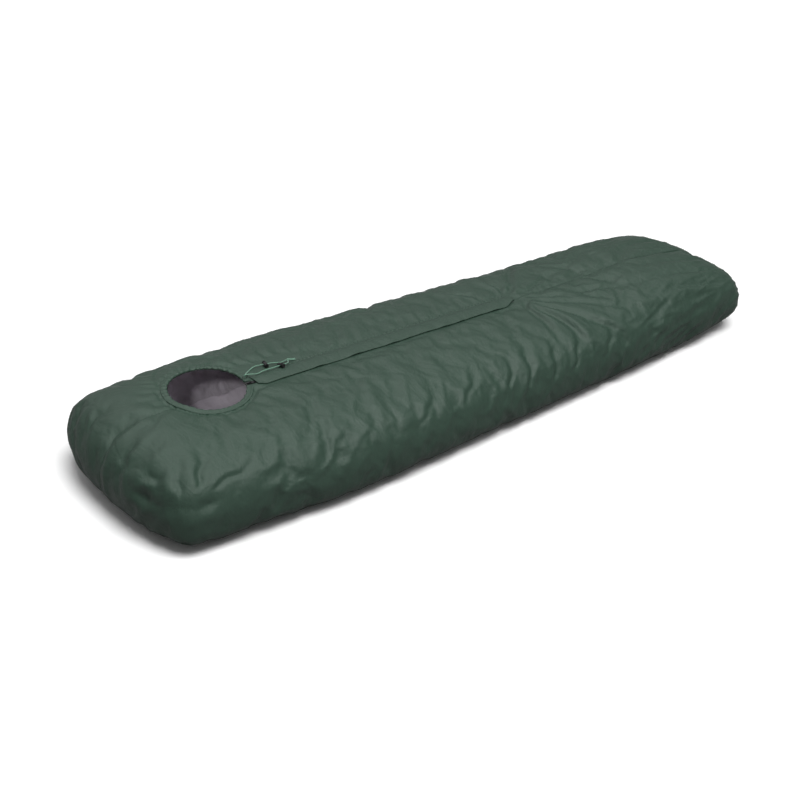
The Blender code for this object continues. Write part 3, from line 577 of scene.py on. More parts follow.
def part_of(made, name, keep, inward=0.0):
    """An object of those faces whose middles keep accepts, moved inward along the normals. UV is metres
    along the sack and metres round it from its crown, or across its floor."""
    piece = made.copy()
    dropped = [f for f in piece.faces if not keep(f.calc_center_median())]
    bmesh.ops.delete(piece, geom=dropped, context="FACES")
    loose = [v for v in piece.verts if not v.link_faces]
    bmesh.ops.delete(piece, geom=loose, context="VERTS")
    mesh = bpy.data.meshes.new(name)
    piece.to_mesh(mesh)
    piece.free()
    points = vertex_array(mesh) - inward * normal_array(mesh)
    mesh.vertices.foreach_set("co", points.ravel())
    x, y, z = points.T
    round_body = np.copysign(np.abs(y) + np.maximum(CROWN_AT_ZIP_START - z, 0), y)
    set_uv(mesh, np.column_stack([x, np.where(z > FLOOR_SEAM_HEIGHT, round_body, y)]))
    mesh.shade_smooth()
    return linked(name, mesh)


def thicken(obj, thick, inner=None):
    """Gives a sheet its thickness inwards; inner is the material of its inside."""
    if inner:
        obj.data.materials.append(inner)
    wall = obj.modifiers.new("thickness", "SOLIDIFY")
    wall.thickness = thick
    wall.offset = -1
    wall.use_even_offset = False
    wall.material_offset = 1 if inner else 0
    wall.material_offset_rim = 0


# ---------------------------------------------------------------- swept pieces


def spline(route, step):
    """A Catmull-Rom curve through the route's points, read about every step."""
    route = np.asarray(route, float)
    ends = np.concatenate([[2 * route[0] - route[1]], route, [2 * route[-1] - route[-2]]])
    read = []
    for a, b, c, d in zip(ends[:-3], ends[1:-2], ends[2:-1], ends[3:]):
        count = max(1, round(float(np.linalg.norm(c - b)) / step))
        t = (np.arange(count) / count)[:, None]
        bend, twist = 2 * a - 5 * b + 4 * c - d, 3 * b - a - 3 * c + d
        read.append((2 * b + (c - a) * t + bend * t**2 + twist * t**3) / 2)
    return np.concatenate([*read, route[-1:]])


def along_path(path):
    """The distance along a path at each of its points."""
    return np.concatenate([[0], np.cumsum(np.linalg.norm(np.diff(path, axis=0), axis=1))])


def frames(path, reference=(0, 1, 0)):
    """Two unit vectors across a path at each point, the first as near to the reference as can be."""
    tangent = np.gradient(path, axis=0)
    tangent /= np.linalg.norm(tangent, axis=1)[:, None]
    first = np.asarray(reference, float) - tangent * (tangent @ np.asarray(reference, float))[:, None]
    first /= np.linalg.norm(first, axis=1)[:, None]
    return first, np.cross(tangent, first)


def swept(name, path, radius, sides, reference=(0, 1, 0)):
    """A closed tube along a path. Radius is a number, or a function of distance along and angle round."""
    first, second = frames(path, reference)
    turn = 2 * math.pi * np.arange(sides) / sides
    along = along_path(path)
    across = radius(along[:, None], turn[None]) if callable(radius) else np.full((len(path), sides), radius)
    ring = first[:, None] * np.cos(turn)[None, :, None] + second[:, None] * np.sin(turn)[None, :, None]
    points = path[:, None] + ring * across[..., None]
    return ring_tube(name, points, along)


def ring_tube(name, rings, along):
    """A closed skin over rings of points, with a point at the middle of each end. UV is metres along,
    turns round."""
    rows, sides = rings.shape[:2]
    points = np.concatenate([rings.reshape(-1, 3), [rings[0].mean(0), rings[-1].mean(0)]])
    j = np.arange(sides)
    k = (j + 1) % sides
    last = (rows - 1) * sides
    caps = [[int(b), int(a), rows * sides] for a, b in zip(j, k)]
    caps += [[last + int(a), last + int(b), rows * sides + 1] for a, b in zip(j, k)]
    faces = grid_faces(rows, sides, True)[:, ::-1].tolist() + caps
    uv = np.stack(np.broadcast_arrays(along[:, None], j[None] / sides), -1).reshape(-1, 2)
    uv = np.concatenate([uv, [[along[0], 0.5], [along[-1], 0.5]]])
    obj = mesh_object(name, points, faces, uv)
    face_outward(obj.data)
    return obj


def stitches(name, path, up, pitch, size):
    """A row of thread stitches along a path: bars of this size, one every pitch, lying along it."""
    along = along_path(path)
    at = np.arange(pitch / 2, along[-1] - pitch / 2, pitch)
    middle = np.stack([np.interp(at, along, path[:, k]) for k in range(3)], 1)
    tangent = np.stack([np.interp(at, along, np.gradient(path[:, k], along)) for k in range(3)], 1)
    tangent /= np.linalg.norm(tangent, axis=1)[:, None]
    lift = np.stack([np.interp(at, along, up[:, k]) for k in range(3)], 1)
    lift /= np.linalg.norm(lift, axis=1)[:, None]
    return bars(name, middle, tangent, np.cross(lift, tangent), lift, size)


# ---------------------------------------------------------------- materials


def material(name, colour, roughness, **sockets):
    """A Principled material; sockets are further inputs by name, with _ for a space."""
    made = bpy.data.materials.new(name)
    made.use_nodes = True
    shader = made.node_tree.nodes["Principled BSDF"]
    shader.inputs["Base Color"].default_value = (*colour, 1)
    shader.inputs["Roughness"].default_value = roughness
    for socket, value in sockets.items():
        shader.inputs[socket.replace("_", " ")].default_value = value
    return made


def node(tree, kind, **values):
    """A node with its properties set, and its sockets where the name is a socket's."""
    made = tree.nodes.new(kind)
    for name, value in values.items():
        if hasattr(made, name):
            setattr(made, name, value)
        else:
            made.inputs[name.replace("_", " ")].default_value = value
    return made


def patch_colour(made, colour, other, size, amount):
    """Varies the base colour in soft patches of about this size, in object space."""
    tree = made.node_tree
    place = node(tree, "ShaderNodeTexCoord")
    noise = node(tree, "ShaderNodeTexNoise", Scale=1 / size, Detail=3.0)
    blend = node(tree, "ShaderNodeMix", data_type="RGBA")
    fade = node(tree, "ShaderNodeMath", operation="MULTIPLY")
    fade.inputs[1].default_value = amount
    tree.links.new(place.outputs["Object"], noise.inputs["Vector"])
    tree.links.new(noise.outputs["Fac"], fade.inputs[0])
    tree.links.new(fade.outputs[0], blend.inputs["Factor"])
    blend.inputs["A"].default_value = (*colour, 1)
    blend.inputs["B"].default_value = (*other, 1)
    tree.links.new(blend.outputs["Result"], tree.nodes["Principled BSDF"].inputs["Base Color"])


def bump(made, height, distance, strength, before=None):
    """Adds a height to the material's surface, on top of an earlier bump."""
    tree = made.node_tree
    bumped = node(tree, "ShaderNodeBump", Strength=strength, Distance=distance)
    tree.links.new(height, bumped.inputs["Height"])
    if before:
        tree.links.new(before.outputs["Normal"], bumped.inputs["Normal"])
    tree.links.new(bumped.outputs["Normal"], tree.nodes["Principled BSDF"].inputs["Normal"])
    return bumped


def weave_height(tree, pace):
    """A plain weave: two crossed trains of waves over the UV map, pace threads to the metre."""
    place = node(tree, "ShaderNodeTexCoord")
    split = node(tree, "ShaderNodeSeparateXYZ")
    tree.links.new(place.outputs["UV"], split.inputs[0])
    trains = []
    for axis in ("X", "Y"):
        scaled = node(tree, "ShaderNodeMath", operation="MULTIPLY")
        scaled.inputs[1].default_value = pace * 2 * math.pi
        wave = node(tree, "ShaderNodeMath", operation="SINE")
        tree.links.new(split.outputs[axis], scaled.inputs[0])
        tree.links.new(scaled.outputs[0], wave.inputs[0])
        trains.append(wave)
    crossed = node(tree, "ShaderNodeMath", operation="MULTIPLY")
    tree.links.new(trains[0].outputs[0], crossed.inputs[0])
    tree.links.new(trains[1].outputs[0], crossed.inputs[1])
    return crossed.outputs[0]


def crinkle_height(tree, size, stretch):
    """Fine crinkles: warped noise in object space, longer across the sack than along it."""
    place = node(tree, "ShaderNodeTexCoord")
    shape = node(tree, "ShaderNodeMapping")
    shape.inputs["Scale"].default_value = stretch
    noise = node(tree, "ShaderNodeTexNoise", Scale=1 / size, Detail=4.0, Roughness=0.55, Distortion=0.8)
    tree.links.new(place.outputs["Object"], shape.inputs["Vector"])
    tree.links.new(shape.outputs["Vector"], noise.inputs["Vector"])
    return noise.outputs["Fac"]


def cloth_material(name, colour, other, roughness, crinkle, **sockets):
    """Woven cloth: soft patches of two colours, fine crinkles and a plain weave."""
    made = material(name, colour, roughness, **sockets)
    patch_colour(made, colour, other, 0.25, 0.9)
    first = bump(made, crinkle_height(made.node_tree, 0.045, (1.0, 0.6, 0.6)), crinkle, 0.5)
    bump(made, weave_height(made.node_tree, 1400), 0.00012, 0.35, first)
    return made


def cord_material(name, colour):
    """Braided cord or thread: small patches of a darker colour, and a little fuzz."""
    made = material(name, colour, 0.6, Sheen_Weight=0.2)
    patch_colour(made, colour, tuple(0.75 * c for c in colour), 0.004, 0.8)
    return made


def plastic_material(name, colour, roughness):
    """A moulded or drawn surface: a fine grain, and small patches of a lighter colour."""
    made = material(name, colour, roughness)
    bump(made, crinkle_height(made.node_tree, 0.0008, (1, 1, 1)), 0.00004, 0.4)
    patch_colour(made, colour, tuple(1.6 * c for c in colour), 0.003, 0.5)
    return made


# ---------------------------------------------------------------- places shared with the frame

EYELET_Y, RUN_OFFSET, CORD_RADIUS, KNOT_RADIUS = 0.030, 0.0022, 0.0015, 0.0045
TAPE_INNER, TAPE_OUTER, TAPE_THICK, TAPE_TOP = 0.0009, 0.0122, 0.0008, -0.0028
COIL_WIDTH, COIL_HEIGHT, STOP_LENGTH = 0.0024, 0.0018, 0.0040
SEAM_TAPE_WIDTH, SEAM_TAPE_THICK = 0.022, 0.0003
BINDING_OFFSET, BINDING_WIDTH = 0.0016, 0.0090

# Routes of the two strands of drawcord, from the eyelet to the knot: s, y, height above the crown line
UPPER_ROUTE = (
    (0.4500, 0.0385, 0.0070),
    (0.4580, 0.0465, 0.0038),
    (0.4680, 0.0550, 0.0019),
    (0.4790, 0.0606, 0.0026),
    (0.4900, 0.0627, 0.0048),
    (0.5000, 0.0607, 0.0057),
    (0.5200, 0.0565, 0.0057),
    (0.5380, 0.0527, 0.0057),
    (0.5480, 0.0500, 0.0046),
    (0.5600, 0.0466, 0.0032),
    (0.5720, 0.0444, 0.0052),
)
LOWER_ROUTE = (
    (0.4480, 0.0240, 0.0112),
    (0.4600, 0.0198, 0.0100),
    (0.4720, 0.0187, 0.0082),
    (0.4840, 0.0192, 0.0098),
    (0.4950, 0.0194, 0.0110),
    (0.5200, 0.0194, 0.0110),
    (0.5560, 0.0194, 0.0110),
    (0.5650, 0.0214, 0.0104),
    (0.5725, 0.0280, 0.0084),
    (0.5768, 0.0342, 0.0070),
)
# The strands' tails from the knot to their bare ends
UPPER_TAIL = (
    (0.5866, 0.0450, 0.0060),
    (0.5925, 0.0464, 0.0044),
    (0.5990, 0.0468, 0.0024),
    (0.6060, 0.0460, 0.0019),
)
LOWER_TAIL = (
    (0.5865, 0.0411, 0.0060),
    (0.5925, 0.0398, 0.0046),
    (0.5980, 0.0394, 0.0036),
    (0.6040, 0.0396, 0.0031),
)
# The strands' first points over the eyelet: steps along and across from it, height above the crown line
UPPER_RISE = ((0.0, 0.0, 0.0006), (0.0, 0.0, 0.0044), (0.0019, 0.0016, 0.0080))
LOWER_RISE = ((0.0, 0.0, 0.0006), (0.0, 0.0, 0.0058), (0.0021, -0.0014, 0.0100))
KNOT_AT = (0.5820, 0.0434, 0.0063)


def placed(route):
    """World points of a route given as s, y and height above the crown line."""
    s, y, up = np.array(route, float).T
    return np.column_stack([world_x(s), y, crown_line(s) + up])


def hem_path(stations):
    """The hem's middle line as (s, y) from its left end by the zip round to its right, and its normal."""
    half_length, half_wide = FACE_HALF_LENGTH + HEM_HALF_WIDTH, FACE_HALF_WIDTH + HEM_HALF_WIDTH
    start = math.asin((HEM_END_Y - FACE_Y) / half_wide)
    stop = 2 * math.pi + math.asin((-HEM_END_Y - FACE_Y) / half_wide)
    turn = np.linspace(start, stop, stations)
    points = np.stack([FACE_AT + half_length * np.cos(turn), FACE_Y + half_wide * np.sin(turn)], axis=1)
    normal = np.stack([half_wide * np.cos(turn), half_length * np.sin(turn)], axis=1)
    return points, normal / np.linalg.norm(normal, axis=1)[:, None]


def eyelet_centre():
    """s and y of the cord's eyelet on the hem."""
    points, _ = hem_path(42)
    return points[int(np.argmin(np.abs(points[:21, 1] - EYELET_Y)))]


def slab(name, top, under, uv=None):
    """A closed sheet between two grids of points, top and under, joined round their edges."""
    rows, columns = top.shape[:2]
    count = rows * columns
    upper = grid_faces(rows, columns)
    lower = upper[:, ::-1] + count
    i, j = np.arange(rows), np.arange(columns)
    loop = np.concatenate(
        [j[:-1], i[:-1] * columns + columns - 1, count - 1 - j[:-1], (rows - 1 - i[:-1]) * columns]
    )
    ahead = np.roll(loop, -1)
    rim = np.stack([ahead, loop, loop + count, ahead + count], 1)
    points = np.concatenate([top.reshape(-1, 3), under.reshape(-1, 3)])
    both = None if uv is None else np.concatenate([uv.reshape(-1, 2), uv.reshape(-1, 2)])
    obj = mesh_object(name, points, np.concatenate([upper, lower, rim]).tolist(), both)
    face_outward(obj.data)
    return obj


def bars(name, middle, long, side, up, size):
    """Rounded bars in a row: at each middle, reaching size[0] along long, size[1] along side and size[2]
    along up. Each is a five-sided bar drawn in at its two ends, of 17 faces."""
    corners = []
    for t, w in ((-0.5, 0.55), (-0.36, 1), (0.36, 1), (0.5, 0.55)):
        for a, b in ((-0.5, -0.5), (-0.5, 0.3), (0.0, 0.5), (0.5, 0.3), (0.5, -0.5)):
            corners.append(middle + long * (t * size[0]) + side * (a * w * size[1]) + up * (b * w * size[2]))
    one = grid_faces(4, 5, True).tolist() + [[4, 3, 2, 1, 0], [15, 16, 17, 18, 19]]
    faces = [[corner + 20 * k for corner in face] for k in range(len(middle)) for face in one]
    obj = mesh_object(name, np.stack(corners, 1).reshape(-1, 3), faces)
    face_outward(obj.data)
    return obj


# ---------------------------------------------------------------- settings


def colour_property(name, description, default):
    """A colour that a user can change."""
    return FloatVectorProperty(
        name=name, description=description, default=default, subtype="COLOR", min=0, max=1
    )


class BivySettings(bpy.types.PropertyGroup):
    """What a user can change before making the sack."""

    fold_depth: FloatProperty(
        name="Fold depth",
        description="How deep the cloth's folds are, as a share",
        default=1.0,
        min=0,
        max=2,
        subtype="FACTOR",
    )
    gather_depth: FloatProperty(
        name="Gather depth",
        description="Height of the gathers round the face hem",
        default=0.0016,
        min=0,
        max=0.004,
        unit="LENGTH",
    )
    stitch_pitch: FloatProperty(
        name="Stitch pitch",
        description="Distance between stitches",
        default=0.0042,
        min=0.002,
        max=0.01,
        unit="LENGTH",
    )
    tooth_pitch: FloatProperty(
        name="Tooth pitch",
        description="Distance between zip teeth",
        default=0.0022,
        min=0.0015,
        max=0.005,
        unit="LENGTH",
    )
    cord_sides: IntProperty(
        name="Cord sides", description="Faces round each cord", default=20, min=8, max=48
    )
    shell: colour_property("Shell", "Colour of the coated nylon outside", (0.031, 0.058, 0.042))
    lining: colour_property("Lining", "Colour of the coated inside", (0.62, 0.575, 0.63))
    cord: colour_property("Cord", "Colour of the drawcord", (0.120, 0.235, 0.170))
    black: colour_property("Black", "Colour of the plastic and the zip", (0.012, 0.012, 0.013))


def settings():
    """The values that the sack is made with."""
    return bpy.context.scene.bivy_sack


def finish_piece(obj, body, slot, made, *stands_for):
    """Puts a piece on its body with its material, in place of the CAD nodes it stands for. The slot is not
    used.
    """
    if made:
        obj.data.materials.clear()
        obj.data.materials.append(made)
    if body:
        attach(obj, body)
    if stands_for:
        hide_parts(*stands_for)
    return obj


def named_material(name):
    """A material by name, which the materials operator has to have made."""
    found = bpy.data.materials.get(name)
    if found is None:
        raise RuntimeError(f"make the materials first: {name} isn't there")
    return found


# ---------------------------------------------------------------- operators


class BIVY_OT_camera(bpy.types.Operator):
    """Place the camera"""

    bl_idname = "bivy.camera"
    bl_label = "Camera"

    def execute(self, context):
        azimuth, elevation, distance = math.radians(-37.13), math.radians(29.23), 4.002
        look_at = Vector((-0.2373, -0.1391, 0.115))
        level = math.cos(elevation)
        back = Vector((math.sin(azimuth) * level, -math.cos(azimuth) * level, math.sin(elevation)))
        data = bpy.data.cameras.new("camera")
        data.sensor_width = 36
        data.lens = 67.76
        data.clip_start = 0.05
        data.clip_end = 200
        camera = linked("camera", data)
        camera.location = look_at + distance * back
        camera.rotation_mode = "QUATERNION"
        camera.rotation_quaternion = (-back).to_track_quat("-Z", "Y")
        context.scene.camera = camera
        return {"FINISHED"}


class BIVY_OT_stage(bpy.types.Operator):
    """Make the white studio: floor, surroundings and soft lights"""

    bl_idname = "bivy.stage"
    bl_label = "Studio"

    def execute(self, context):
        context.scene.view_settings.view_transform = "Standard"
        world = bpy.data.worlds.new("studio")
        context.scene.world = world
        world.use_nodes = True
        tree = world.node_tree
        tree.nodes.clear()
        path = node(tree, "ShaderNodeLightPath")
        # the cloth is lit, and shows reflections, mostly from above: both grow with the ray's height
        place = node(tree, "ShaderNodeTexCoord")
        split = node(tree, "ShaderNodeSeparateXYZ")
        tree.links.new(place.outputs["Generated"], split.inputs[0])
        lit = self.rising(tree, split, -0.1, (0.16, 0.74))
        mirrored = self.rising(tree, split, 0.35, (0.33, 2.25))
        white = node(tree, "ShaderNodeBackground", Color=(1, 1, 1, 1), Strength=1.0)
        first, second = node(tree, "ShaderNodeMixShader"), node(tree, "ShaderNodeMixShader")
        out = node(tree, "ShaderNodeOutputWorld")
        tree.links.new(path.outputs["Is Glossy Ray"], first.inputs["Fac"])
        tree.links.new(lit.outputs[0], first.inputs[1])
        tree.links.new(mirrored.outputs[0], first.inputs[2])
        tree.links.new(path.outputs["Is Camera Ray"], second.inputs["Fac"])
        tree.links.new(first.outputs[0], second.inputs[1])
        tree.links.new(white.outputs[0], second.inputs[2])
        tree.links.new(second.outputs[0], out.inputs["Surface"])
        self.floor()
        # daylight from above and a little from the right side
        sun, _ = self.lamp("soft_sun", "SUN", 2.75, (0.0, 0.40, -1.0))
        sun.data.angle = math.radians(32)
        sun.visible_glossy = False
        # a soft box over the right side's middle, which gives the cloth its sheen
        place, aim = Vector((-0.2, -1.15, 1.65)), Vector((-0.2, -0.1, 0.15))
        box, _ = self.lamp("soft_box", "AREA", 6.5, aim - place)
        box.data.size = 1.3
        box.location = place
        box.visible_camera = False
        # a narrow lamp that shines down into the face opening
        spot, into = self.lamp("inside_lamp", "SPOT", 95.0, (0.52, 0.60, -0.54))
        spot.data.spot_size = math.radians(6.0)
        spot.data.spot_blend = 0.7
        spot.data.shadow_soft_size = 0.12
        spot.location = Vector((world_x(FACE_AT), FACE_Y, CROWN_AT_ZIP_START)) - 2.5 * into
        return {"FINISHED"}

    def lamp(self, name, kind, energy, direction):
        """A lamp that shines this way, and that way as a unit vector."""
        made = linked(name, bpy.data.lights.new(name, kind))
        made.data.energy = energy
        into = Vector(direction).normalized()
        made.rotation_mode = "QUATERNION"
        made.rotation_quaternion = into.to_track_quat("-Z", "Y")
        return made, into

    def floor(self):
        """A wide plane just under the sack."""
        half, under = 60.0, -0.0006
        corners = [(-half, -half, under), (half, -half, under), (half, half, under), (-half, half, under)]
        floor = mesh_object("studio_floor", corners, [(0, 1, 2, 3)])
        floor.data.materials.append(self.floor_material())

    def rising(self, tree, split, start, strengths):
        """A white surrounding that grows from its first strength at the height start to its second overhead.

        It dims towards the two ends: strength = rise(z) * (1 - 0.75 * |x|), for the direction (x, y, z).
        """
        rise = node(tree, "ShaderNodeMapRange")
        low, high = strengths
        for socket, value in (("From Min", start), ("From Max", 1.0), ("To Min", low), ("To Max", high)):
            rise.inputs[socket].default_value = value
        tree.links.new(split.outputs["Z"], rise.inputs["Value"])
        endward = node(tree, "ShaderNodeMath", operation="ABSOLUTE")
        tree.links.new(split.outputs["X"], endward.inputs[0])
        dim = node(tree, "ShaderNodeMapRange")
        dim.inputs["To Min"].default_value = 1.0
        dim.inputs["To Max"].default_value = 0.25
        tree.links.new(endward.outputs[0], dim.inputs["Value"])
        strength = node(tree, "ShaderNodeMath", operation="MULTIPLY")
        tree.links.new(rise.outputs["Result"], strength.inputs[0])
        tree.links.new(dim.outputs["Result"], strength.inputs[1])
        around = node(tree, "ShaderNodeBackground", Color=(1, 1, 1, 1))
        tree.links.new(strength.outputs[0], around.inputs["Strength"])
        return around

    def floor_material(self):
        """White with the sack's shadow to the camera, and grey to the light it throws back up."""
        made = material("studio_white", (0.97, 0.97, 0.97), 0.9, Specular_IOR_Level=0.1)
        tree = made.node_tree
        path = node(tree, "ShaderNodeLightPath")
        blend = node(tree, "ShaderNodeMix", data_type="RGBA")
        tree.links.new(path.outputs["Is Camera Ray"], blend.inputs["Factor"])
        blend.inputs["A"].default_value = (0.22, 0.22, 0.22, 1)
        blend.inputs["B"].default_value = (0.97, 0.97, 0.97, 1)
        tree.links.new(blend.outputs["Result"], tree.nodes["Principled BSDF"].inputs["Base Color"])
        return made


class BIVY_OT_materials(bpy.types.Operator):
    """Make the materials: coated nylon, lining, cord, plastic, zip cloth, thread, tape and steel"""

    bl_idname = "bivy.materials"
    bl_label = "Materials"

    def execute(self, context):
        chosen = settings()
        shell, lining, black = tuple(chosen.shell), tuple(chosen.lining), tuple(chosen.black)
        duller = tuple(0.88 * c for c in shell)
        dull_lining = tuple(0.7 * c for c in lining)
        darkest = tuple(0.8 * c for c in shell)
        cloth_material("coated_nylon", shell, duller, 0.35, 0.0085, Specular_IOR_Level=0.36)
        cloth_material("floor_nylon", duller, darkest, 0.5, 0.0045, Specular_IOR_Level=0.36)
        cloth_material("coated_lining", lining, dull_lining, 0.38, 0.012, Specular_IOR_Level=0.5)
        cord_material("braided_cord", tuple(chosen.cord))
        cord_material("green_thread", tuple(1.25 * c for c in shell))
        plastic_material("moulded_plastic", tuple(0.5 * c for c in black), 0.42)
        cloth_material("zip_tape_cloth", black, tuple(1.5 * c for c in black), 0.8, 0.0005)
        cloth_material("seam_tape_film", tuple(1.3 * c for c in lining), lining, 0.3, 0.0008)
        for name, colour, roughness in (
            ("spring_steel", (0.55, 0.55, 0.57), 0.28),
            ("dark_steel", (0.03, 0.03, 0.032), 0.35),
        ):
            steel = plastic_material(name, colour, roughness)
            steel.node_tree.nodes["Principled BSDF"].inputs["Metallic"].default_value = 1
        return {"FINISHED"}


def cord_surface(along, turn):
    """A braid's skin: the cord's radius with two crossed trains of small ridges."""
    strands, pitch = 5, 0.0075
    first = np.cos(strands * turn + 2 * math.pi * strands * along / pitch)
    second = np.cos(strands * turn - 2 * math.pi * strands * along / pitch)
    ends = np.minimum(along, along[-1:] - along) / CORD_RADIUS
    closed = np.sqrt(1 - (1 - np.clip(ends, 0, 1)) ** 2) * 0.55 + 0.45
    return CORD_RADIUS * closed * (1 + 0.035 * (np.maximum(first, 0) + np.maximum(second, 0) - 0.6))


class BIVY_OT_drawcord(bpy.types.Operator):
    """Make both strands of drawcord from the eyelet to their bare ends, and the knot that joins them"""

    bl_idname = "bivy.drawcord"
    bl_label = "Drawcord"

    def execute(self, context):
        cord = named_material("braided_cord")
        eyelet = eyelet_centre()
        rows = (
            ("upper", UPPER_RISE, 1, UPPER_ROUTE, UPPER_TAIL, 0.0013),
            ("lower", LOWER_RISE, -1, LOWER_ROUTE, LOWER_TAIL, -0.0013),
        )
        run = swept("drawcord_hem_run", hidden_run(), CORD_RADIUS, 12, (0, 0, 1))
        finish_piece(run, "shell", "cord", cord, "drawcord_in_hem")
        knot = self.knot(cord)
        for name, rise, side, route, tail, beside in rows:
            start = [(eyelet[0] + side * RUN_OFFSET + ds, eyelet[1] + dy, up) for ds, dy, up in rise]
            through = [(KNOT_AT[0] - 0.003, KNOT_AT[1] + beside * 0.7, KNOT_AT[2])]
            through += [(KNOT_AT[0] + 0.002, KNOT_AT[1] + beside, KNOT_AT[2])]
            path = spline(placed([*start, *route, *through, *tail]), 0.0008)
            obj = swept(f"drawcord_strand_{name}", path, cord_surface, settings().cord_sides)
            finish_piece(obj, "shell", "cord", cord, f"drawcord_{name}", f"drawcord_tail_{name}")
        return {"FINISHED"}

    def knot(self, cord):
        """Three crossing turns of cord drawn tight: a trefoil lying across the strands."""
        t = np.linspace(0, 2 * math.pi, 181)[:-1]
        wide = 2 + np.cos(3 * t)
        loop = np.stack([wide * np.cos(2 * t) * 0.95, wide * np.sin(2 * t), 1.5 * np.sin(3 * t)], 1)
        size = (KNOT_RADIUS - 0.0010) / 3
        middle = placed([KNOT_AT])[0]
        path = middle + loop * size
        tangent = np.roll(path, -1, 0) - np.roll(path, 1, 0)
        tangent /= np.linalg.norm(tangent, axis=1)[:, None]
        outer = path - middle
        outer -= tangent * (outer * tangent).sum(1)[:, None]
        outer /= np.linalg.norm(outer, axis=1)[:, None]
        turn = 2 * math.pi * np.arange(12) / 12
        upward = np.cross(tangent, outer)
        ring = outer[:, None] * np.cos(turn)[None, :, None] + upward[:, None] * np.sin(turn)[None, :, None]
        points = path[:, None] + ring * 0.00135
        i, j = np.meshgrid(np.arange(180), np.arange(12), indexing="ij")
        uv = np.stack([i * size * 0.1, j / 12], -1).reshape(-1, 2)
        obj = mesh_object("drawcord_knot_tied", points.reshape(-1, 3), closed_faces(180, 12), uv)
        face_outward(obj.data)
        return finish_piece(obj, "shell", "cord", cord, "drawcord_knot")


def hidden_run():
    """The cord inside the hem: from under the eyelet round to the hem's right end, and back beside itself."""
    points, normal = hem_path(168)
    start = int(np.argmin(np.abs(points[:84, 1] - EYELET_Y)))
    points, normal = points[start:-4], normal[start:-4]
    turn = np.linspace(math.pi / 2, -math.pi / 2, 9)[1:-1]
    tangent = np.array((-normal[-1, 1], normal[-1, 0]))
    end = points[-1] + RUN_OFFSET * (np.outer(np.cos(turn), tangent) + np.outer(np.sin(turn), normal[-1]))
    flat = np.concatenate([points + RUN_OFFSET * normal, end, (points - RUN_OFFSET * normal)[::-1]])
    z = top_z(flat[:, 0], flat[:, 1]) - 0.0012 + face_lift(flat[:, 0], flat[:, 1])
    return np.column_stack([world_x(flat[:, 0]), flat[:, 1], z])


class BIVY_OT_shell(bpy.types.Operator):
    """Make the folded cloth of the two top panels and the floor, and the tapes inside their seams"""

    bl_idname = "bivy.shell"
    bl_label = "Shell"

    def execute(self, context):
        skin = stuffed_cloth()
        made = cut_skin(skin)
        bpy.data.objects.remove(skin)
        seam = FLOOR_SEAM_HEIGHT
        left = part_of(made, "top_cloth_left", lambda p: p.z > seam and p.y > 0)
        right = part_of(made, "top_cloth_right", lambda p: p.z > seam and p.y < 0)
        floor = part_of(made, "floor_cloth", lambda p: p.z < seam)
        nylon, lining = named_material("coated_nylon"), named_material("coated_lining")
        for obj, slot, cloth, node_name in (
            (left, "shell_fabric", nylon, "top_panel_left"),
            (right, "shell_fabric", nylon, "top_panel_right"),
            (floor, "floor_fabric", named_material("floor_nylon"), "floor_panel"),
        ):
            finish_piece(obj, "shell", slot, cloth, node_name)
            thicken(obj, CLOTH_THICK, lining)
        self.tapes(made)
        made.free()
        return {"FINISHED"}

    def tapes(self, made):
        """The waterproof tapes inside the centre seams and round the floor seam."""
        half = SEAM_TAPE_WIDTH / 2
        head_end = world_x(FACE_AT - FACE_HALF_LENGTH - 2 * HEM_HALF_WIDTH)
        foot_start = world_x(ZIP_START + ZIP_LENGTH + 0.013)
        low, high = FLOOR_SEAM_HEIGHT - half, FLOOR_SEAM_HEIGHT + half
        taped = made.copy()
        for place, across in (
            ((0, half, 0), (0, 1, 0)),
            ((0, -half, 0), (0, 1, 0)),
            ((0, 0, low), (0, 0, 1)),
            ((0, 0, high), (0, 0, 1)),
            ((head_end, 0, 0), (1, 0, 0)),
            ((foot_start, 0, 0), (1, 0, 0)),
        ):
            everything = taped.verts[:] + taped.edges[:] + taped.faces[:]
            bmesh.ops.bisect_plane(taped, geom=everything, dist=1e-6, plane_co=place, plane_no=across)
        above = high + 2 * GAP
        film = named_material("seam_tape_film")
        for end, keep in (
            ("head", lambda p: abs(p.y) < half and p.x < head_end and p.z > above),
            ("foot", lambda p: abs(p.y) < half and p.x > foot_start and p.z > above),
            ("floor", lambda p: low < p.z < high),
        ):
            obj = part_of(taped, f"seam_tape_strip_{end}", keep, CLOTH_THICK + 0.0002)
            finish_piece(obj, "shell", "seam_tape", film, f"seam_tape_{end}")
            thicken(obj, SEAM_TAPE_THICK)
        taped.free()


def gather_height(around, out):
    """The hem's gathers over angle round the opening and distance out from its middle line: pleats
    with a sharp valley and a round ridge, drawn up most on the far and foot sides."""
    pull = 0.10 + 0.90 * ramp(np.sin(around), -0.25, 0.5)
    phase = 46 * around + 2.4 * np.sin(5 * around + 1) + 1.1 * np.sin(11 * around)
    pleat = 1 - 2 * np.abs(np.sin(phase / 2 + 60 * out)) ** 0.7
    return pull * pleat


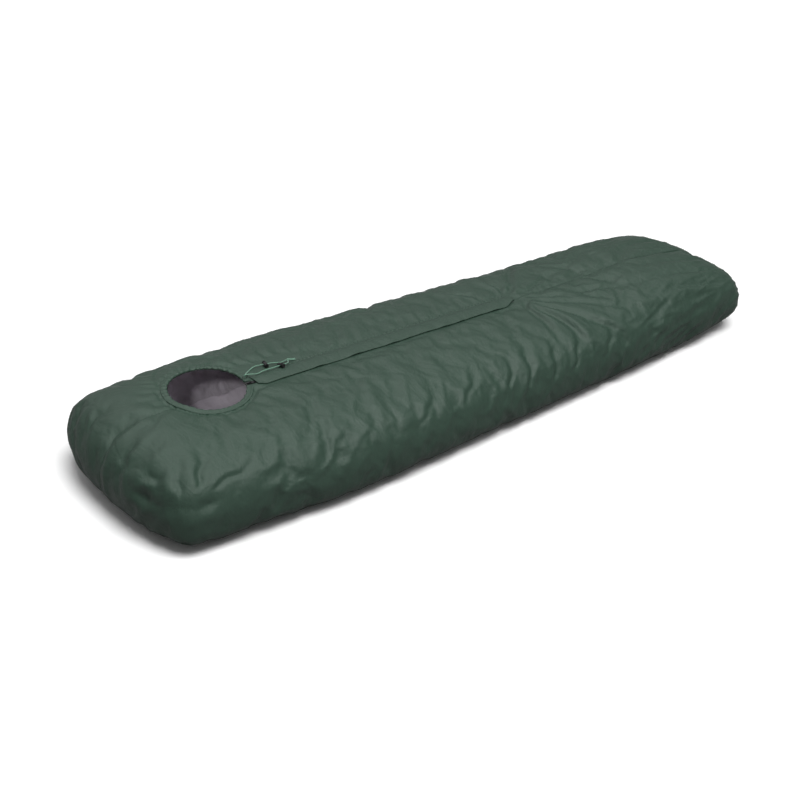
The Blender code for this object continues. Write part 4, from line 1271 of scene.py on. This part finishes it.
class BIVY_OT_face_hem(bpy.types.Operator):
    """Make the gathered hem round the face opening, its stitches and the eyelet's ring"""

    bl_idname = "bivy.face_hem"
    bl_label = "Face hem"

    def execute(self, context):
        stations, sides = 640, 32
        path, normal = hem_path(stations)
        turn = 2 * math.pi * (np.arange(sides) + 0.5) / sides
        out = HEM_HALF_WIDTH * np.sign(np.cos(turn)) * np.abs(np.cos(turn)) ** 0.8
        up = HEM_HALF_HEIGHT * np.sign(np.sin(turn)) * np.abs(np.sin(turn)) ** 0.8
        around = np.arctan2(path[:, 1] - FACE_Y, path[:, 0] - FACE_AT)[:, None]
        depth = settings().gather_depth
        # the channel is pinched along its stitch line, and its inner lip is rounder than its outer edge
        pinch = 1 - 0.45 * np.exp(-(((out - 0.0050) / 0.0012) ** 2))
        swell = 1 + 0.25 * ramp(-out, 0, 0.007)
        lip = 0.0009 * np.sin(37 * around + 2 * np.sin(4 * around)) * ramp(-out[None], 0.002, 0.009)
        flat = path[:, None] + normal[:, None] * (out[None, :, None] + lip[..., None])
        middle = top_z(path[:, 0], path[:, 1])[:, None] - 0.0010
        lift = face_lift(flat[..., 0], flat[..., 1])
        edge = ramp(np.abs(np.sin(turn)), 0.0, 0.5)[None] * (np.sin(turn) > 0)[None]
        gather = depth * gather_height(around, out[None]) * (0.35 + 0.65 * edge)
        z = middle + lift + up[None] * (pinch * swell)[None] + gather * 0.8
        rings = np.stack([world_x(flat[..., 0]), flat[..., 1], z], -1)
        line = np.stack([world_x(path[:, 0]), path[:, 1], middle[:, 0]], 1)
        hem = ring_tube("face_hem_channel", rings, along_path(line))
        nylon = named_material("coated_nylon")
        self.scale_uv(hem, 0.04)
        finish_piece(hem, "shell", "shell_fabric", nylon, "face_hem")
        self.thread(rings, out, turn)
        self.ring(eyelet_centre())
        return {"FINISHED"}

    def scale_uv(self, hem, wide):
        """Turns the UV's turns round into metres round."""
        uv = np.empty(len(hem.data.loops) * 2)
        layer = hem.data.uv_layers[0]
        layer.data.foreach_get("uv", uv)
        uv[1::2] *= wide
        layer.data.foreach_set("uv", uv)

    def thread(self, rings, out, turn):
        """Stitches along the pinched line of the channel's top."""
        column = int(np.argmin(np.abs(out - 0.0050) + 1.0 * (np.sin(turn) < 0)))
        line = rings[:, column] + np.array((0, 0, 0.0002))
        up = np.tile((0.0, 0.0, 1.0), (len(line), 1))
        row = stitches("face_hem_stitches", line, up, settings().stitch_pitch, THREAD_SIZE)
        finish_piece(row, "shell", "shell_fabric", named_material("green_thread"))

    def ring(self, eyelet):
        """A moulded ring lying on the hem: a flattened torus."""
        hole, rim = RUN_OFFSET + CORD_RADIUS + 0.0005, 0.0022
        around, across = 48, 16
        a, b = 2 * math.pi * np.arange(around) / around, 2 * math.pi * np.arange(across) / across
        a, b = a[:, None], b[None]
        radius = hole + rim / 2 * (1 + np.cos(b))
        z = float(top_z(*eyelet)) - 0.00125 + 0.0047 + 0.0007 * np.sin(b) + 0 * a
        points = np.stack([world_x(eyelet[0]) + radius * np.cos(a), eyelet[1] + radius * np.sin(a), z], -1)
        obj = mesh_object("hem_eyelet_ring", points.reshape(-1, 3), closed_faces(around, across))
        face_outward(obj.data)
        finish_piece(obj, "shell", "black_plastic", named_material("moulded_plastic"), "hem_eyelet")


def flap_point(s, y, above):
    """A place on the storm flap: s, y and a height above the crown line, as world points."""
    return np.stack(np.broadcast_arrays(world_x(s), y, crown_line(s) + above), -1)


def flap_height(s, y):
    """The flap's top above the crown line: a low arch, with slack waves growing towards its free edge
    and short puckers by its seam."""
    share = y / FLAP_HALF_WIDTH
    lowered = 0.25 + 0.75 * ramp(s, FLAP_START, FLAP_START + 0.030)
    free = ramp(-share, 0.1, 1.0)
    arch = GAP + FLAP_THICK + FLAP_RISE * (1 - share**2) * lowered + 0.0012 * free * ramp(s, 0.47, 0.52)
    slack = 0.0012 * np.sin(2 * math.pi * s / 0.146 + 1.3 * np.sin(9 * s))
    slack = slack + 0.0008 * np.sin(2 * math.pi * s / 0.061)
    sewn = ramp(share, 0.35, 0.85) * (1 - ramp(share, 0.96, 1.0))
    pucker = 0.0008 * np.sin(2 * math.pi * (s + 0.35 * y) / 0.017 + 2 * np.sin(23 * s))
    near_cords = ramp(s, 0.60, 0.64)
    return arch + near_cords * (free * np.maximum(slack, -0.0006) * 0.9 + sewn * pucker)


class BIVY_OT_storm_flap(bpy.types.Operator):
    """Make the storm flap, the binding along its seam and the stitches in both"""

    bl_idname = "bivy.storm_flap"
    bl_label = "Storm flap"

    def execute(self, context):
        nylon, thread = named_material("coated_nylon"), named_material("green_thread")
        s = np.linspace(FLAP_START, FLAP_END, 440)[:, None]
        share = np.linspace(-1, 1, 30)[None]
        share = np.sign(share) * np.abs(share) ** 0.8
        ends = 0.55 * ramp(s, FLAP_END - 0.045, FLAP_END)
        ends = ends + 0.40 * (1 - ramp(s, FLAP_START, FLAP_START + 0.022))
        narrow = 1 - ends * ramp(-share, -1, 0.6)
        wander = 0.0012 * np.sin(2 * math.pi * s / 0.19 + 0.7) * ramp(-share, 0.2, 1) * ramp(s, 0.60, 0.66)
        y = FLAP_HALF_WIDTH * share * narrow + wander
        height = flap_height(s, y)
        hem = 0.0005 * (np.exp(-(((share + 0.86) / 0.14) ** 2)))
        top = flap_point(s, y, height + hem)
        under = flap_point(s, y, height - FLAP_THICK + 0.0002)
        uv = np.stack(np.broadcast_arrays(s, y), -1)
        flap = slab("storm_flap_cloth", top, under, uv)
        flap.data.materials.append(nylon)
        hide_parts("storm_flap_head", "storm_flap")
        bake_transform(flap)
        for name, at in (("free", -0.78), ("seam", 0.90)):
            column = int(np.argmin(np.abs(share[0] - at)))
            line = top[:, column] + np.array((0, 0, 0.0001))
            up = np.tile((0.0, 0.0, 1.0), (len(line), 1))
            row = stitches(f"storm_flap_stitches_{name}", line, up, settings().stitch_pitch, THREAD_SIZE)
            row.data.materials.append(thread)
            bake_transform(row)
        self.binding(nylon, thread)
        return {"FINISHED"}

    def binding(self, nylon, thread):
        """The strip of shell cloth that sews the flap down, drawn into small puckers by its stitches."""
        s = np.linspace(FLAP_START, FLAP_END, 700)[:, None]
        share = np.linspace(0, 1, 12)[None]
        y = FLAP_HALF_WIDTH + BINDING_OFFSET - 0.0006 + (BINDING_WIDTH + 0.0006) * share
        round_top = 1 - np.abs(2 * share - 1) ** 3
        pucker = 0.00055 * np.sin(2 * math.pi * (s - 0.5 * y) / 0.0125 + 1.6 * np.sin(31 * s)) * round_top
        drop = top_z(s, y) - crown_line(s)
        above = np.maximum(drop, -0.002) + 0.0002 + 0.0011 * round_top + pucker
        top = flap_point(s, y, above)
        under = flap_point(s, y, np.maximum(drop, -0.002) - 0.0006 + 0 * above)
        strip = slab("storm_flap_binding_cloth", top, under, np.stack(np.broadcast_arrays(s, y), -1))
        finish_piece(strip, "shell", "shell_fabric", nylon, "storm_flap_binding")
        line = top[:, 6] + np.array((0, 0, 0.0001))
        up = np.tile((0.0, 0.0, 1.0), (len(line), 1))
        row = stitches("storm_flap_binding_stitches", line, up, settings().stitch_pitch, THREAD_SIZE)
        finish_piece(row, "shell", "shell_fabric", thread)


class BIVY_OT_zip(bpy.types.Operator):
    """Make the zip's tapes and its two rows of teeth, and give the slider and pull their finish"""

    bl_idname = "bivy.zip"
    bl_label = "Zip"

    def execute(self, context):
        black, cloth = named_material("moulded_plastic"), named_material("zip_tape_cloth")
        for side, turn in (("left", 1), ("right", -1)):
            self.teeth(side, turn, black)
            self.tape(side, turn, cloth)
        for name in ("zip_slider", "zip_pull", "zip_top_stop_left", "zip_top_stop_right"):
            refinish(name, black, 0.0003)
        refinish("zip_bottom_stop", named_material("dark_steel"), 0.0003)
        return {"FINISHED"}

    def teeth(self, side, turn, black):
        """Coil turns standing across the tape's inner edge, the two sides half a pitch apart."""
        pitch = settings().tooth_pitch
        shift = 0 if turn > 0 else pitch / 2
        at = ZIP_START + np.arange(STOP_LENGTH + 0.0012 + shift, ZIP_LENGTH - STOP_LENGTH - 0.0018, pitch)
        y = turn * (TAPE_INNER - 0.0004 + COIL_WIDTH / 2)
        middle = flap_point(at, y, TAPE_TOP + GAP + COIL_HEIGHT / 2)
        slope = math.atan(CROWN_SLOPE)
        along = np.array((math.cos(slope), 0, math.sin(slope)))
        up = np.array((-math.sin(slope), 0, math.cos(slope)))
        across = np.array((0.0, 1.0, 0.0))
        size = (COIL_WIDTH + 0.0004, 0.0013, COIL_HEIGHT)
        obj = bars(f"zip_coil_{side}_teeth", middle, across, along, up, size)
        finish_piece(obj, "shell", "black_plastic", black, f"zip_coil_{side}")

    def tape(self, side, turn, cloth):
        """A woven tape with a thicker woven edge beside the teeth."""
        s = np.linspace(ZIP_START, ZIP_START + ZIP_LENGTH + ZIP_TAIL, 300)[:, None]
        share = np.linspace(0, 1, 14)[None]
        y = turn * (TAPE_INNER + (TAPE_OUTER - TAPE_INNER) * share)
        bead = 0.00022 * np.cos(2 * math.pi * share * 5) * (1 - ramp(share, 0.2, 0.6))
        top = flap_point(s, y, TAPE_TOP - 0.0002 + bead + 0 * s)
        under = flap_point(s, y, TAPE_TOP - TAPE_THICK + 0 * s + 0 * share)
        obj = slab(f"zip_tape_{side}_cloth", top, under, np.stack(np.broadcast_arrays(s, y), -1))
        finish_piece(obj, "shell", "zip_cloth", cloth, f"zip_tape_{side}")


def refinish(name, made, bevel=0.0):
    """Gives a CAD node a better material in its slots, and rounds its edges."""
    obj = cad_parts[name]
    for slot in obj.material_slots:
        slot.material = made
    if bevel:
        edge = obj.modifiers.new("edges", "BEVEL")
        edge.width = bevel
        edge.segments = 2
        edge.limit_method = "ANGLE"
        edge.harden_normals = False


class BIVY_OT_cord_locks(bpy.types.Operator):
    """Give both cord locks their finish"""

    bl_idname = "bivy.cord_locks"
    bl_label = "Cord locks"

    def execute(self, context):
        black, steel = named_material("moulded_plastic"), named_material("spring_steel")
        for lock in ("cord_lock_a", "cord_lock_b"):
            refinish(f"{lock}_barrel", black, 0.0005)
            refinish(f"{lock}_button", black, 0.0004)
            refinish(f"{lock}_spring", steel)
        return {"FINISHED"}


class BIVY_PT_panel(bpy.types.Panel):
    """The sack's settings and the steps that make it"""

    bl_idname = "BIVY_PT_panel"
    bl_label = "Bivy Sack"
    bl_space_type = "VIEW_3D"
    bl_region_type = "UI"
    bl_category = "Bivy Sack"

    def draw(self, context):
        chosen = context.scene.bivy_sack
        for name in BivySettings.__annotations__:
            self.layout.prop(chosen, name)
        for operator in OPERATORS:
            self.layout.operator(operator.bl_idname)


OPERATORS = (
    BIVY_OT_camera,
    BIVY_OT_materials,
    BIVY_OT_drawcord,
    BIVY_OT_stage,
    BIVY_OT_shell,
    BIVY_OT_face_hem,
    BIVY_OT_storm_flap,
    BIVY_OT_zip,
    BIVY_OT_cord_locks,
)
CLASSES = (BivySettings, *OPERATORS, BIVY_PT_panel)


def register():
    """Adds the settings, the operators and the panel."""
    for cls in CLASSES:
        bpy.utils.register_class(cls)
    bpy.types.Scene.bivy_sack = PointerProperty(type=BivySettings)


def unregister():
    """Takes them away again."""
    del bpy.types.Scene.bivy_sack
    for cls in reversed(CLASSES):
        bpy.utils.unregister_class(cls)


def main():
    """Makes the whole sack."""
    register()
    bpy.ops.bivy.camera()
    bpy.ops.bivy.materials()
    bpy.ops.bivy.drawcord()
    bpy.ops.bivy.stage()
    bpy.ops.bivy.shell()
    bpy.ops.bivy.face_hem()
    bpy.ops.bivy.storm_flap()
    bpy.ops.bivy.zip()
    bpy.ops.bivy.cord_locks()


if __name__ == "__main__":
    main()
